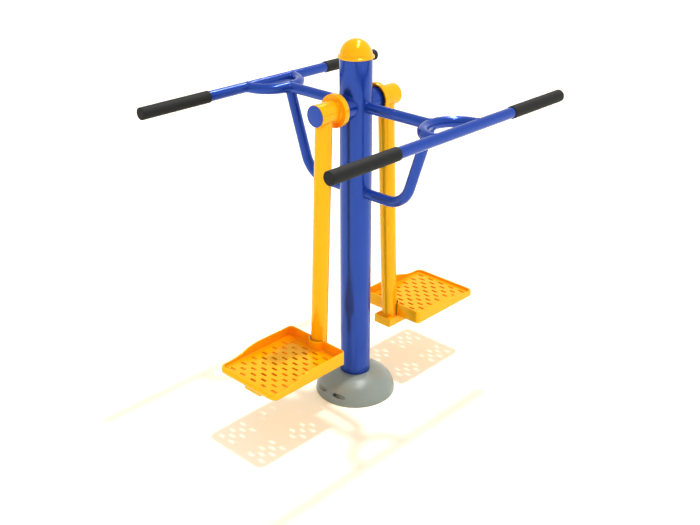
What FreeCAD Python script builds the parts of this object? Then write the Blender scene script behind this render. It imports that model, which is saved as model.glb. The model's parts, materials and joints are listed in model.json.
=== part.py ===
"""Outdoor pendulum walker for two people: one post, one axle, two swings with foot pans.

Millimetres. The origin is on the ground at the post's axis. +X runs along the axle, +Y along the arms and
+Z up. The front half of the frame is at -Y, and the left swing is at -X. Pieces that come in pairs are built
once for the +X or +Y place, and the other one is the same piece turned half a turn about the post.
"""
import FreeCAD, Part
import math
import os

import Sketcher

Vector = FreeCAD.Vector
UP = Vector(0, 0, 1)
FULL_TURN = 360

# Each size has a name and a value, and every feature below is bound to these names.
SIZES = (
    # post and cap
    ("post_diameter", 114.3),
    ("post_wall", 4.0),
    ("post_above_axle", 164.4),
    ("cap_rim_overhang", 5.85),
    ("cap_rim_height", 7.0),
    ("cap_ledge", 6.5),
    ("cap_wall", 4.0),
    ("cap_plug_depth", 32.0),
    ("cap_plug_gap", 0.3),
    # base under the cover
    ("plate_inset", 13.1),
    ("plate_thickness", 12.0),
    ("anchor_inset", 30.0),
    ("anchor_hole", 18.0),
    ("anchor_count", 4),
    ("gusset_rise", 60.0),
    ("gusset_inset", 10.85),
    ("gusset_toe", 8.0),
    ("gusset_thickness", 6.0),
    # base cover, in two halves
    ("cover_diameter", 306.2),
    ("cover_height", 88.3),
    ("cover_collar", 8.65),
    ("cover_wall", 3.0),
    ("cover_post_gap", 0.6),
    ("cover_rise_power", 2.2),
    ("cover_side_power", 1.53),
    ("cover_bolt_height", 34.0),
    ("cover_bolt_inset", 17.1),
    ("cover_bolt_diameter", 8.0),
    ("cover_bolt_gap", 0.25),
    ("cover_pocket_diameter", 18.0),
    ("cover_lug_depth", 14.0),
    ("cover_pocket_reach", 96.0),
    ("cover_head_width", 13.0),
    ("cover_head_height", 5.3),
    # axle, its housing and the stop
    ("axle_height", 1144.6),
    ("housing_diameter", 88.9),
    ("housing_wall", 5.0),
    ("housing_half", 100.0),
    ("end_plate_thickness", 10.0),
    ("axle_diameter", 30.0),
    ("thread_diameter", 24.0),
    ("collar_diameter", 36.0),
    ("nut_thickness", 12.0),
    ("nut_width", 36.0),
    ("nut_stick_out", 3.0),
    ("washer_diameter", 40.0),
    ("washer_thickness", 3.0),
    ("stop_pin_inset", 6.45),
    ("stop_pin_diameter", 8.0),
    ("stop_bush_diameter", 13.0),
    ("stop_pin_depth", 8.0),
    ("stop_reach", 9.0),
    ("stop_gap", 0.3),
    ("swing_limit", 35.0),
    # ball bearings
    ("bearing_outer", 62.0),
    ("bearing_width", 16.0),
    ("bearing_spread", 30.0),
    ("race_gap", 10.0),
    ("ball_diameter", 9.5),
    ("ball_count", 9),
    ("ball_gap", 0.05),
    ("inner_spacer_diameter", 38.0),
    ("outer_spacer_wall", 3.0),
    # hub of a swing
    ("cup_diameter", 116.0),
    ("cup_rim_wall", 5.0),
    ("cup_depth", 20.5),
    ("cup_floor", 8.0),
    ("cup_offset", 12.0),
    ("seal_diameter", 48.0),
    ("seal_gap", 0.08),
    ("seal_end_gap", 0.5),
    ("sleeve_diameter", 76.1),
    ("sleeve_length", 85.0),
    ("circlip_width", 2.2),
    ("circlip_groove", 2.5),
    ("circlip_inner", 57.0),
    ("hub_cap_thickness", 3.3),
    ("hub_cap_lip_gap", 2.5),
    ("hub_cap_plug_depth", 8.0),
    ("hub_cap_plug_wall", 3.0),
    # leg and foot beam
    ("leg_diameter", 60.3),
    ("leg_wall", 3.0),
    ("leg_past_cup", 43.7),
    ("leg_splay", 2.59),
    ("beam_top", 252.8),
    ("beam_height", 36.0),
    ("beam_width", 80.0),
    ("beam_wall", 3.0),
    ("beam_corner", 4.0),
    ("beam_behind_leg", 42.0),
    ("beam_length", 371.0),
    # foot pan
    ("pan_past_leg", 6.2),
    ("pan_length", 353.8),
    ("pan_width", 285.2),
    ("pan_back_height", 51.2),
    ("pan_lip_height", 24.0),
    ("pan_wall", 4.5),
    ("pan_end_wall", 13.5),
    ("pan_nose_flat", 1.0),
    ("pan_floor_rise", 13.2),
    ("pan_floor_thickness", 10.0),
    ("pan_inner_corner", 14.0),
    ("pan_outer_corner", 24.0),
    ("pan_drop_length", 158.0),
    ("pan_lip_length", 38.0),
    ("pan_rib_thickness", 6.0),
    ("pan_rib_offset", 33.0),
    ("recess_gap", 4.85),
    ("slot_length", 27.0),
    ("slot_width", 9.5),
    ("slot_corner", 3.5),
    ("slot_pitch_across", 54.0),
    ("slot_pitch_along", 25.0),
    ("slot_inset", 37.0),
    ("slots_across", 5),
    ("slot_row_pairs", 6),
    ("pan_bolt_diameter", 8.0),
    ("pan_bolt_gap", 0.1),
    ("pan_bolt_head_width", 13.0),
    ("pan_bolt_head_height", 5.3),
    ("pan_bolt_thread", 10.0),
    ("pan_boss_diameter", 16.0),
    # bar across the beam, under the middle of the pan
    ("crossbar_width", 60.0),
    ("crossbar_end_gap", 6.0),
    ("crossbar_side_gap", 0.5),
    # handles
    ("pipe_diameter", 38.1),
    ("pipe_wall", 3.0),
    ("weld_gap", 0.05),
    ("bar_offset", 444.1),
    ("bar_half", 581.0),
    ("bow_apex", 333.0),
    ("strut_drop", 314.6),
    ("strut_bend", 104.0),
    ("strut_lean", 18.5),
    ("grip_diameter", 44.0),
    ("grip_length", 291.0),
    ("grip_end_wall", 4.0),
    ("grip_edge", 3.0),
)

# Places and sizes that follow from those above, so that what fits together stays together.
DERIVED = (
    ("post_top", "=axle_height + post_above_axle"),
    ("cap_rim_diameter", "=post_diameter + 2 * cap_rim_overhang"),
    ("cap_dome_radius", "=cap_rim_diameter / 2 - cap_ledge"),
    ("plate_diameter", "=cover_diameter - 2 * plate_inset"),
    ("anchor_circle", "=plate_diameter - 2 * anchor_inset"),
    ("gusset_reach", "=plate_diameter / 2 - gusset_inset - post_diameter / 2"),
    ("cover_top_radius", "=post_diameter / 2 + cover_collar"),
    ("stop_circle_radius", "=housing_diameter / 2 - housing_wall - stop_pin_inset"),
    ("ball_circle", "=(axle_diameter + bearing_outer) / 2"),
    ("race_inner_lip", "=ball_circle - race_gap / 2"),
    ("race_outer_lip", "=ball_circle + race_gap / 2"),
    ("cup_outer_face", "=housing_half + cup_offset"),
    ("cup_mouth", "=cup_outer_face - cup_depth"),
    ("sleeve_end", "=cup_outer_face + sleeve_length"),
    ("leg_offset", "=cup_outer_face + leg_past_cup"),
    ("leg_foot", "=leg_offset + (axle_height - beam_top) * tan(leg_splay)"),
    ("beam_start", "=leg_foot - beam_behind_leg"),
    ("beam_end", "=beam_start + beam_length"),
    ("pan_start", "=leg_foot + pan_past_leg"),
    ("pan_end", "=pan_start + pan_length"),
    ("pan_drop_end", "=pan_end - pan_lip_length"),
    ("pan_drop_start", "=pan_drop_end - pan_drop_length"),
    ("slot_first", "=pan_end - slot_inset"),
    ("crossbar_middle", "=slot_first - (slot_row_pairs - 0.5) * slot_pitch_along"),
    ("strut_height", "=axle_height - strut_drop"),
)

doc = FreeCAD.newDocument("air_walker")
sheet = doc.addObject("Spreadsheet::Sheet", "dim")
for row, (alias, value) in enumerate(SIZES + DERIVED, start=1):
    sheet.set(f"A{row}", alias)
    sheet.set(f"B{row}", str(value))
    sheet.setAlias(f"B{row}", alias)
doc.recompute()

nodes = []


def number(expression):
    """The value of an expression over the sheet."""
    return float(sheet.evalExpression(str(expression)))


def bind(feature, **sizes):
    """Bind properties to expressions; a double underscore stands for the dot in a property's path."""
    for path, expression in sizes.items():
        feature.setExpression(path.replace("__", "."), str(expression))
    return feature


def piece(feature, label, half_turn=False):
    """Make a feature a sub-part: its label names its file, and it may be turned to the other side."""
    feature.Label = label
    turn = FreeCAD.Rotation(UP, 180 if half_turn else 0)
    feature.Placement = FreeCAD.Placement(Vector(0, 0, 0), turn)
    nodes.append(feature)
    return feature


def stand(feature, along, x, y, z):
    """Point a primitive's own Z axis along X, Y or Z and bind its place."""
    turns = {"X": (Vector(0, 1, 0), 90), "Y": (Vector(1, 0, 0), -90), "Z": (UP, 0)}
    feature.Placement = FreeCAD.Placement(Vector(0, 0, 0), FreeCAD.Rotation(*turns[along]))
    return bind(feature, Placement__Base__x=x, Placement__Base__y=y, Placement__Base__z=z)


def cylinder(name, radius, height, along="Z", x="0", y="0", z="0"):
    feature = doc.addObject("Part::Cylinder", name)
    bind(feature, Radius=radius, Height=height)
    return stand(feature, along, x, y, z)


def box(name, length, width, height, x="0", y="0", z="0"):
    feature = doc.addObject("Part::Box", name)
    bind(feature, Length=length, Width=width, Height=height)
    return stand(feature, "Z", x, y, z)


def hexagon(name, width, height, along, x, y, z):
    """A hexagonal bolt head or nut, given by its width across the flats."""
    feature = doc.addObject("Part::Prism", name)
    feature.Polygon = 6
    bind(feature, Circumradius=f"({width}) / 2 / cos(30)", Height=height)
    return stand(feature, along, x, y, z)


def fuse(name, *shapes):
    feature = doc.addObject("Part::MultiFuse", name)
    feature.Shapes = list(shapes)
    return feature


def cut(name, base, *tools):
    feature = doc.addObject("Part::Cut", name)
    feature.Base = base
    feature.Tool = tools[0] if len(tools) == 1 else fuse(name + "_tools", *tools)
    return feature


def common(name, first, second):
    feature = doc.addObject("Part::MultiCommon", name)
    feature.Shapes = [first, second]
    return feature


def group(name, *solids):
    """Identical pieces that share a node."""
    feature = doc.addObject("Part::Compound", name)
    feature.Links = list(solids)
    return feature


def tube(name, outer, inner, length, along="Z", x="0", y="0", z="0"):
    """A round tube or ring, given by its outer and inner radii."""
    return cut(
        name,
        cylinder(name + "_outside", outer, length, along, x, y, z),
        cylinder(name + "_bore", inner, length, along, x, y, z),
    )


def mirrored_x(feature):
    """The same shape at the other end of the axle."""
    copy = doc.addObject("Part::Mirroring", feature.Name + "_mirrored")
    copy.Source = feature
    copy.Normal = Vector(1, 0, 0)
    return copy


def body_plane(body, role):
    return next(part for part in body.Origin.OriginFeatures if part.Role == role)


def sketch_on(body, name, role, offset="0"):
    """A sketch on one of the body's own planes, or parallel to it at a bound offset."""
    sketch = body.newObject("Sketcher::SketchObject", name)
    sketch.AttachmentSupport = [(body_plane(body, role), "")]
    sketch.MapMode = "FlatFace"
    return bind(sketch, AttachmentOffset__Base__z=offset)


def arc_between(start, end, radius, turn):
    """The shorter arc from start to end; turn is 1 for anticlockwise and -1 for clockwise."""
    middle = (start + end) * 0.5
    chord = end - start
    aside = Vector(-chord.y, chord.x, 0).normalize() * turn
    height = math.sqrt(max(radius**2 - (chord.Length / 2) ** 2, 0))
    centre = middle + aside * height
    first, last = (start, end) if turn > 0 else (end, start)
    angles = [math.atan2(p.y - centre.y, p.x - centre.x) for p in (first, last)]
    if angles[1] < angles[0]:
        angles[1] += 2 * math.pi
    return Part.ArcOfCircle(Part.Circle(centre, UP, radius), *angles)


def draw(sketch, corners, closed=True):
    """An outline whose corners, and whose arcs' radii, are bound to the sheet.

    A corner is (across, up), or (across, up, radius, turn) where the edge to the next corner is an arc.
    """
    first = sketch.GeometryCount
    points = [Vector(number(corner[0]), number(corner[1]), 0) for corner in corners]
    count = len(corners) if closed else len(corners) - 1
    ends = []
    for index in range(count):
        start, end = points[index], points[(index + 1) % len(points)]
        corner = corners[index]
        if len(corner) == 2:
            sketch.addGeometry(Part.LineSegment(start, end))
            ends.append((1, 2))
        else:
            sketch.addGeometry(arc_between(start, end, number(corner[2]), corner[3]))
            ends.append((1, 2) if corner[3] > 0 else (2, 1))
    for index, corner in enumerate(corners):
        edge, end = (index, 0) if index < count else (index - 1, 1)
        for kind, value in (("DistanceX", corner[0]), ("DistanceY", corner[1])):
            rule = Sketcher.Constraint(kind, -1, 1, first + edge, ends[edge][end], number(value))
            sketch.setExpression(f"Constraints[{sketch.addConstraint(rule)}]", str(value))
        if len(corner) > 2 and index < count:
            rule = Sketcher.Constraint("Radius", first + index, number(corner[2]))
            sketch.setExpression(f"Constraints[{sketch.addConstraint(rule)}]", str(corner[2]))
    for index in range(count if closed else count - 1):
        following = (index + 1) % count
        sketch.addConstraint(
            Sketcher.Constraint(
                "Coincident", first + index, ends[index][1], first + following, ends[following][0]
            )
        )
    return sketch


def draw_circle(sketch, x, y, radius):
    index = sketch.addGeometry(Part.Circle(Vector(number(x), number(y), 0), UP, number(radius)))
    rules = (
        (Sketcher.Constraint("DistanceX", -1, 1, index, 3, number(x)), x),
        (Sketcher.Constraint("DistanceY", -1, 1, index, 3, number(y)), y),
        (Sketcher.Constraint("Radius", index, number(radius)), radius),
    )
    for rule, value in rules:
        sketch.setExpression(f"Constraints[{sketch.addConstraint(rule)}]", str(value))
    return sketch


def rounded_rectangle(sketch, x0, x1, y0, y1, radius0, radius1):
    """A rectangle whose corners at x0 have one radius and those at x1 another."""
    left, right = f"({x0}) + ({radius0})", f"({x1}) - ({radius1})"
    return draw(
        sketch,
        (
            (left, y0),
            (right, y0, radius1, 1),
            (x1, f"({y0}) + ({radius1})"),
            (x1, f"({y1}) - ({radius1})", radius1, 1),
            (right, y1),
            (left, y1, radius0, 1),
            (x0, f"({y1}) - ({radius0})"),
            (x0, f"({y0}) + ({radius0})", radius0, 1),
        ),
    )


def pad(body, name, sketch, length):
    feature = body.newObject("PartDesign::Pad", name)
    feature.Profile = sketch
    return bind(feature, Length=length)


def pocket(body, name, sketch, depth, upwards=False, both_ways=False):
    """A pocket cuts down from its sketch, or upwards or to both sides where that is asked for."""
    feature = body.newObject("PartDesign::Pocket", name)
    feature.Profile = sketch
    feature.Reversed = upwards
    feature.Midplane = both_ways
    bind(feature, Length=depth)
    doc.recompute()
    before = feature.BaseFeature.Shape.Volume
    if not feature.Shape.Volume < before:
        raise RuntimeError(f"{name} cuts nothing")
    return feature


def turned(label, corners, height="0"):
    """A piece turned about a line along X: corners are places along the line and radii from it."""
    body = doc.addObject("PartDesign::Body", label)
    sketch = draw(sketch_on(body, label + "_profile", "XZ_Plane"), corners)
    revolution = body.newObject("PartDesign::Revolution", label + "_turned")
    revolution.Profile = sketch
    revolution.ReferenceAxis = (sketch, ["H_Axis"])
    revolution.Angle = FULL_TURN
    return bind(body, Placement__Base__z=height)


PIPE = "dim.pipe_diameter / 2"
PIPE_BORE = f"{PIPE} - dim.pipe_wall"
PIPE_ENVELOPE = f"{PIPE} + dim.weld_gap"


def bent_tube(label, plane, path, height="0"):
    """A tube bent along straight runs and tangent arcs, and the solid that tubes welded to it are cut by."""
    shapes = []
    for suffix, radii in (("", (PIPE, PIPE_BORE)), ("_envelope", (PIPE_ENVELOPE,))):
        body = doc.addObject("PartDesign::Body", label + "_bend" + suffix)
        spine = draw(sketch_on(body, label + "_path" + suffix, plane), path, closed=False)
        doc.recompute()
        section = body.newObject("Sketcher::SketchObject", label + "_section" + suffix)
        section.AttachmentSupport = [(spine, "Edge1")]
        section.MapMode = "NormalToEdge"
        for radius in radii:
            draw_circle(section, "0", "0", radius)
        pipe = body.newObject("PartDesign::AdditivePipe", label + "_pipe" + suffix)
        pipe.Profile = section
        pipe.Spine = (spine, [f"Edge{edge + 1}" for edge in range(spine.GeometryCount)])
        bind(body, Placement__Base__z=height)
        shapes.append(body)
    return shapes


def make_post():
    outside = cylinder(
        "post_outside", "dim.post_diameter / 2", "dim.post_top - dim.plate_thickness", z="dim.plate_thickness"
    )
    bore = cylinder(
        "post_bore",
        "dim.post_diameter / 2 - dim.post_wall",
        "dim.post_top - dim.plate_thickness",
        z="dim.plate_thickness",
    )
    crossing = cylinder(
        "post_crossing",
        "dim.housing_diameter / 2",
        "dim.post_diameter * 2",
        "X",
        x="-dim.post_diameter",
        z="dim.axle_height",
    )
    piece(cut("post_tube", outside, bore, crossing), "post")


def make_post_cap():
    """A hollow dome on a rim that rests on the post, with a plug that sits inside the post."""
    body = doc.addObject("PartDesign::Body", "cap_body")
    rim = "dim.cap_rim_diameter / 2"
    rim_top = "dim.post_top + dim.cap_rim_height"
    plug = "dim.post_diameter / 2 - dim.post_wall - dim.cap_plug_gap"
    hollow = f"{plug} - dim.cap_wall"
    round_over = "dim.cap_wall / 2"
    inner = "(dim.cap_dome_radius - dim.cap_wall)"
    sketch = draw(
        sketch_on(body, "cap_profile", "XZ_Plane"),
        (
            ("0", f"{rim_top} + {inner}"),
            ("0", f"{rim_top} + dim.cap_dome_radius", "dim.cap_dome_radius", -1),
            ("dim.cap_dome_radius", rim_top),
            (f"{rim} - {round_over}", rim_top, round_over, -1),
            (rim, f"{rim_top} - {round_over}"),
            (rim, "dim.post_top"),
            (plug, "dim.post_top"),
            (plug, "dim.post_top - dim.cap_plug_depth"),
            (hollow, "dim.post_top - dim.cap_plug_depth"),
            (hollow, rim_top),
            (inner, rim_top, inner, 1),
        ),
    )
    revolution = body.newObject("PartDesign::Revolution", "cap_turned")
    revolution.Profile = sketch
    revolution.ReferenceAxis = (sketch, ["V_Axis"])
    revolution.Angle = FULL_TURN
    piece(body, "post_cap")


def make_base_plate():
    body = doc.addObject("PartDesign::Body", "plate_body")
    outline = draw_circle(sketch_on(body, "plate_outline", "XY_Plane"), "0", "0", "dim.plate_diameter / 2")
    pad(body, "plate_pad", outline, "dim.plate_thickness")
    reach = "dim.anchor_circle / 2 * cos(45)"
    mark = draw_circle(
        sketch_on(body, "anchor_mark", "XY_Plane", "dim.plate_thickness"), reach, reach, "dim.anchor_hole / 2"
    )
    hole = pocket(body, "anchor_hole", mark, "dim.plate_thickness")
    ring = body.newObject("PartDesign::PolarPattern", "anchor_holes")
    ring.Originals = [hole]
    ring.Axis = (mark, ["N_Axis"])
    ring.Angle = FULL_TURN
    bind(ring, Occurrences="dim.anchor_count")
    body.Tip = ring
    piece(body, "base_plate")


def make_gussets():
    """Ribs along X and Y from the plate up the post; their outer ends are cut low, clear of the cover."""
    ribs = []
    for index in range(4):
        body = doc.addObject("PartDesign::Body", f"gusset_{index}")
        start = "dim.post_diameter / 2"
        end = f"{start} + dim.gusset_reach"
        low = "dim.plate_thickness"
        sketch = draw(
            sketch_on(body, f"gusset_{index}_side", "XZ_Plane"),
            (
                (start, low),
                (end, low),
                (end, f"{low} + dim.gusset_toe"),
                (f"{start} + dim.gusset_toe", f"{low} + dim.gusset_rise"),
                (start, f"{low} + dim.gusset_rise"),
            ),
        )
        pad(body, f"gusset_{index}_plate", sketch, "dim.gusset_thickness").Midplane = True
        body.Placement.Rotation = FreeCAD.Rotation(UP, 90 * index)
        ribs.append(body)
    post = cylinder("gusset_post", "dim.post_diameter / 2", "dim.post_top")
    ribs = [cut(f"rib_{index}", rib, post) for index, rib in enumerate(ribs)]
    piece(group("gussets", *ribs), "base_gussets")


def cover_radius(height, inset=0.0):
    """The dome's radius at a height: a rounded curve that stands steep at the ground and lies flat on top."""
    top = number("dim.cover_top_radius")
    full = number("dim.cover_diameter / 2")
    share = max(1 - (height / (number("dim.cover_height") - inset)) ** number("dim.cover_rise_power"), 0)
    return top - inset + (full - top) * share ** (1 / number("dim.cover_side_power"))


def dome_solid(inset, span):
    """Half of the dome's solid on the +Y side, or all of it, drawn in by a wall's thickness."""
    steps = 12
    rise = number("dim.cover_height") - inset
    heights = [rise * math.sin(math.radians(90 * step / steps)) for step in range(steps + 1)]
    side = Part.BSplineCurve()
    side.interpolate([Vector(cover_radius(height, inset), 0, height) for height in heights])
    edge = cover_radius(rise, inset)
    outline = [
        side.toShape(),
        Part.makeLine(Vector(edge, 0, rise), Vector(0, 0, rise)),
        Part.makeLine(Vector(0, 0, rise), Vector(0, 0, 0)),
        Part.makeLine(Vector(0, 0, 0), Vector(cover_radius(0, inset), 0, 0)),
    ]
    face = Part.Face(Part.Wire(outline))
    return face.revolve(Vector(0, 0, 0), UP, span)


def make_covers():
    """Two half domes that meet at y = 0; a bolt at each end of the seam sits in a channel of either half."""
    half = doc.addObject("Part::Feature", "dome_half")
    half.Shape = dome_solid(0.0, FULL_TURN / 2)
    hollow = doc.addObject("Part::Feature", "dome_hollow")
    hollow.Shape = dome_solid(number("dim.cover_wall"), FULL_TURN)
    bolt_x = "(dim.cover_diameter / 2 - dim.cover_bolt_inset)"
    for label, half_turn in (("base_cover_back", False), ("base_cover_front", True)):
        lugs, channels, holes = [], [], []
        for end, place in (("near", f"-{bolt_x}"), ("far", bolt_x)):
            spot = {"along": "Y", "x": place, "z": "dim.cover_bolt_height"}
            lugs.append(
                cylinder(
                    f"{label}_{end}_lug",
                    "dim.cover_pocket_diameter / 2 + dim.cover_wall",
                    "dim.cover_pocket_reach",
                    **spot,
                )
            )
            channels.append(
                cylinder(
                    f"{label}_{end}_channel",
                    "dim.cover_pocket_diameter / 2",
                    "dim.cover_pocket_reach",
                    y="dim.cover_lug_depth",
                    **spot,
                )
            )
            holes.append(
                cylinder(
                    f"{label}_{end}_hole",
                    "dim.cover_bolt_diameter / 2 + dim.cover_bolt_gap",
                    "dim.cover_lug_depth * 2",
                    y="-dim.cover_lug_depth / 2",
                    **spot,
                )
            )
        opening = cylinder(
            f"{label}_opening", "dim.post_diameter / 2 + dim.cover_post_gap", "dim.cover_height * 2"
        )
        shell = cut(f"{label}_shell", half, hollow)
        bosses = common(f"{label}_bosses", fuse(f"{label}_lugs", *lugs), half)
        walls = fuse(f"{label}_walls", shell, bosses)
        piece(cut(f"{label}_half", walls, *channels, *holes, opening), label, half_turn)


def make_cover_bolts():
    """A hexagon head in the front half's channel and a nut in the back half's, at each end of the seam."""
    bolts, nuts = [], []
    bolt_x = "(dim.cover_diameter / 2 - dim.cover_bolt_inset)"
    tip = "(dim.cover_lug_depth + dim.cover_head_height + dim.nut_stick_out)"
    for end, place in (("near", f"-{bolt_x}"), ("far", bolt_x)):
        spot = {"along": "Y", "x": place, "z": "dim.cover_bolt_height"}
        shank = cylinder(
            f"cover_shank_{end}",
            "dim.cover_bolt_diameter / 2",
            f"dim.cover_lug_depth + {tip}",
            y="-dim.cover_lug_depth",
            **spot,
        )
        head = hexagon(
            f"cover_head_{end}",
            "dim.cover_head_width",
            "dim.cover_head_height",
            y="-dim.cover_lug_depth - dim.cover_head_height",
            **spot,
        )
        bolts.append(fuse(f"cover_bolt_{end}", shank, head))
        nut = hexagon(
            f"cover_nut_{end}_solid",
            "dim.cover_head_width",
            "dim.cover_head_height",
            y="dim.cover_lug_depth",
            **spot,
        )
        nuts.append(cut(f"cover_nut_{end}", nut, shank))
    piece(group("bolts_of_cover", *bolts), "cover_bolts")
    piece(group("nuts_of_cover", *nuts), "cover_nuts")


def on_axle(name, outer, inner, start, length):
    """A ring on the axle's line, from a place along X outwards."""
    return tube(name, outer, inner, length, "X", x=start, z="dim.axle_height")


def both_ends(name, feature, label):
    """The same fixed piece at both ends of the axle, as one node."""
    piece(group(name, feature, mirrored_x(feature)), label)


BEARING_STARTS = ("dim.cup_outer_face", "(dim.cup_outer_face + dim.bearing_width + dim.bearing_spread)")
BEARINGS_END = "(dim.cup_outer_face + 2 * dim.bearing_width + dim.bearing_spread)"
WASHER_END = f"({BEARINGS_END} + dim.washer_thickness)"
NUT_END = f"({WASHER_END} + dim.nut_thickness)"


def make_housing():
    outer = "dim.housing_diameter / 2"
    inner = f"{outer} - dim.housing_wall"
    piece(on_axle("housing_tube", outer, inner, "-dim.housing_half", "2 * dim.housing_half"), "axle_housing")
    plate = on_axle(
        "end_plate_disc",
        inner,
        "dim.axle_diameter / 2",
        "dim.housing_half - dim.end_plate_thickness",
        "dim.end_plate_thickness",
    )
    pin_hole = cylinder(
        "end_plate_pin_hole",
        "dim.stop_pin_diameter / 2",
        "dim.end_plate_thickness * 2",
        "X",
        x="dim.housing_half - dim.stop_pin_depth",
        z="dim.axle_height + dim.stop_circle_radius",
    )
    both_ends("end_plates", cut("end_plate", plate, pin_hole), "housing_end_plates")


def make_axle():
    """One shaft through both hubs; its ends are thinner and threaded for the nuts."""
    journal = cylinder(
        "axle_journal",
        "dim.axle_diameter / 2",
        f"2 * {BEARINGS_END}",
        "X",
        x=f"-{BEARINGS_END}",
        z="dim.axle_height",
    )
    thread_end = f"({NUT_END} + dim.nut_stick_out)"
    threads = cylinder(
        "axle_threads",
        "dim.thread_diameter / 2",
        f"2 * {thread_end}",
        "X",
        x=f"-{thread_end}",
        z="dim.axle_height",
    )
    piece(fuse("shaft", journal, threads), "axle_shaft")
    collar = on_axle(
        "collar",
        "dim.collar_diameter / 2",
        "dim.axle_diameter / 2",
        "dim.housing_half",
        "dim.cup_outer_face - dim.housing_half",
    )
    both_ends("collars", collar, "axle_collars")
    spacer = on_axle(
        "inner_spacer",
        "dim.inner_spacer_diameter / 2",
        "dim.axle_diameter / 2",
        "dim.cup_outer_face + dim.bearing_width",
        "dim.bearing_spread",
    )
    both_ends("inner_spacers", spacer, "inner_race_spacers")
    washer = on_axle(
        "washer", "dim.washer_diameter / 2", "dim.thread_diameter / 2", BEARINGS_END, "dim.washer_thickness"
    )
    both_ends("washers", washer, "axle_washers")
    nut = cut(
        "nut",
        hexagon("nut_solid", "dim.nut_width", "dim.nut_thickness", "X", WASHER_END, "0", "dim.axle_height"),
        cylinder(
            "nut_bore",
            "dim.thread_diameter / 2",
            "dim.nut_thickness",
            "X",
            x=WASHER_END,
            z="dim.axle_height",
        ),
    )
    both_ends("nuts", nut, "axle_nuts")


def ball_track(name, start):
    """The ring that the balls run in, a little larger than they are."""
    track = doc.addObject("Part::Torus", name)
    bind(track, Radius1="dim.ball_circle / 2", Radius2="dim.ball_diameter / 2 + dim.ball_gap")
    return stand(track, "X", f"{start} + dim.bearing_width / 2", "0", "dim.axle_height")


def make_fixed_bearing_pieces():
    races, balls = [], []
    for index, start in enumerate(BEARING_STARTS):
        ring = on_axle(
            f"inner_race_{index}",
            "dim.race_inner_lip / 2",
            "dim.axle_diameter / 2",
            start,
            "dim.bearing_width",
        )
        races.append(cut(f"inner_race_{index}_grooved", ring, ball_track(f"inner_track_{index}", start)))
        for count in range(int(number("dim.ball_count"))):
            ball = doc.addObject("Part::Sphere", f"ball_{index}_{count}")
            bind(ball, Radius="dim.ball_diameter / 2")
            angle = f"360 * {count} / dim.ball_count"
            place = f"{start} + dim.bearing_width / 2"
            aside = f"dim.ball_circle / 2 * cos({angle})"
            above = f"dim.axle_height + dim.ball_circle / 2 * sin({angle})"
            balls.append(stand(ball, "Z", place, aside, above))
    races += [mirrored_x(race) for race in races]
    balls += [mirrored_x(ball) for ball in balls]
    piece(group("inner_races", *races), "bearing_inner_races")
    piece(group("balls", *balls), "bearing_balls")


def make_stops():
    """A pin in each end plate, with a rubber bush that runs in the cup's arc groove."""
    spot = {"along": "X", "z": "dim.axle_height + dim.stop_circle_radius"}
    pin = cylinder(
        "stop_pin",
        "dim.stop_pin_diameter / 2",
        "dim.stop_pin_depth + dim.stop_reach",
        x="dim.housing_half - dim.stop_pin_depth",
        **spot,
    )
    both_ends("stop_pin_pair", pin, "stop_pins")
    bush = tube(
        "stop_bush",
        "dim.stop_bush_diameter / 2",
        "dim.stop_pin_diameter / 2",
        "dim.stop_reach",
        x="dim.housing_half",
        **spot,
    )
    both_ends("stop_bush_pair", bush, "stop_bushes")


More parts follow.
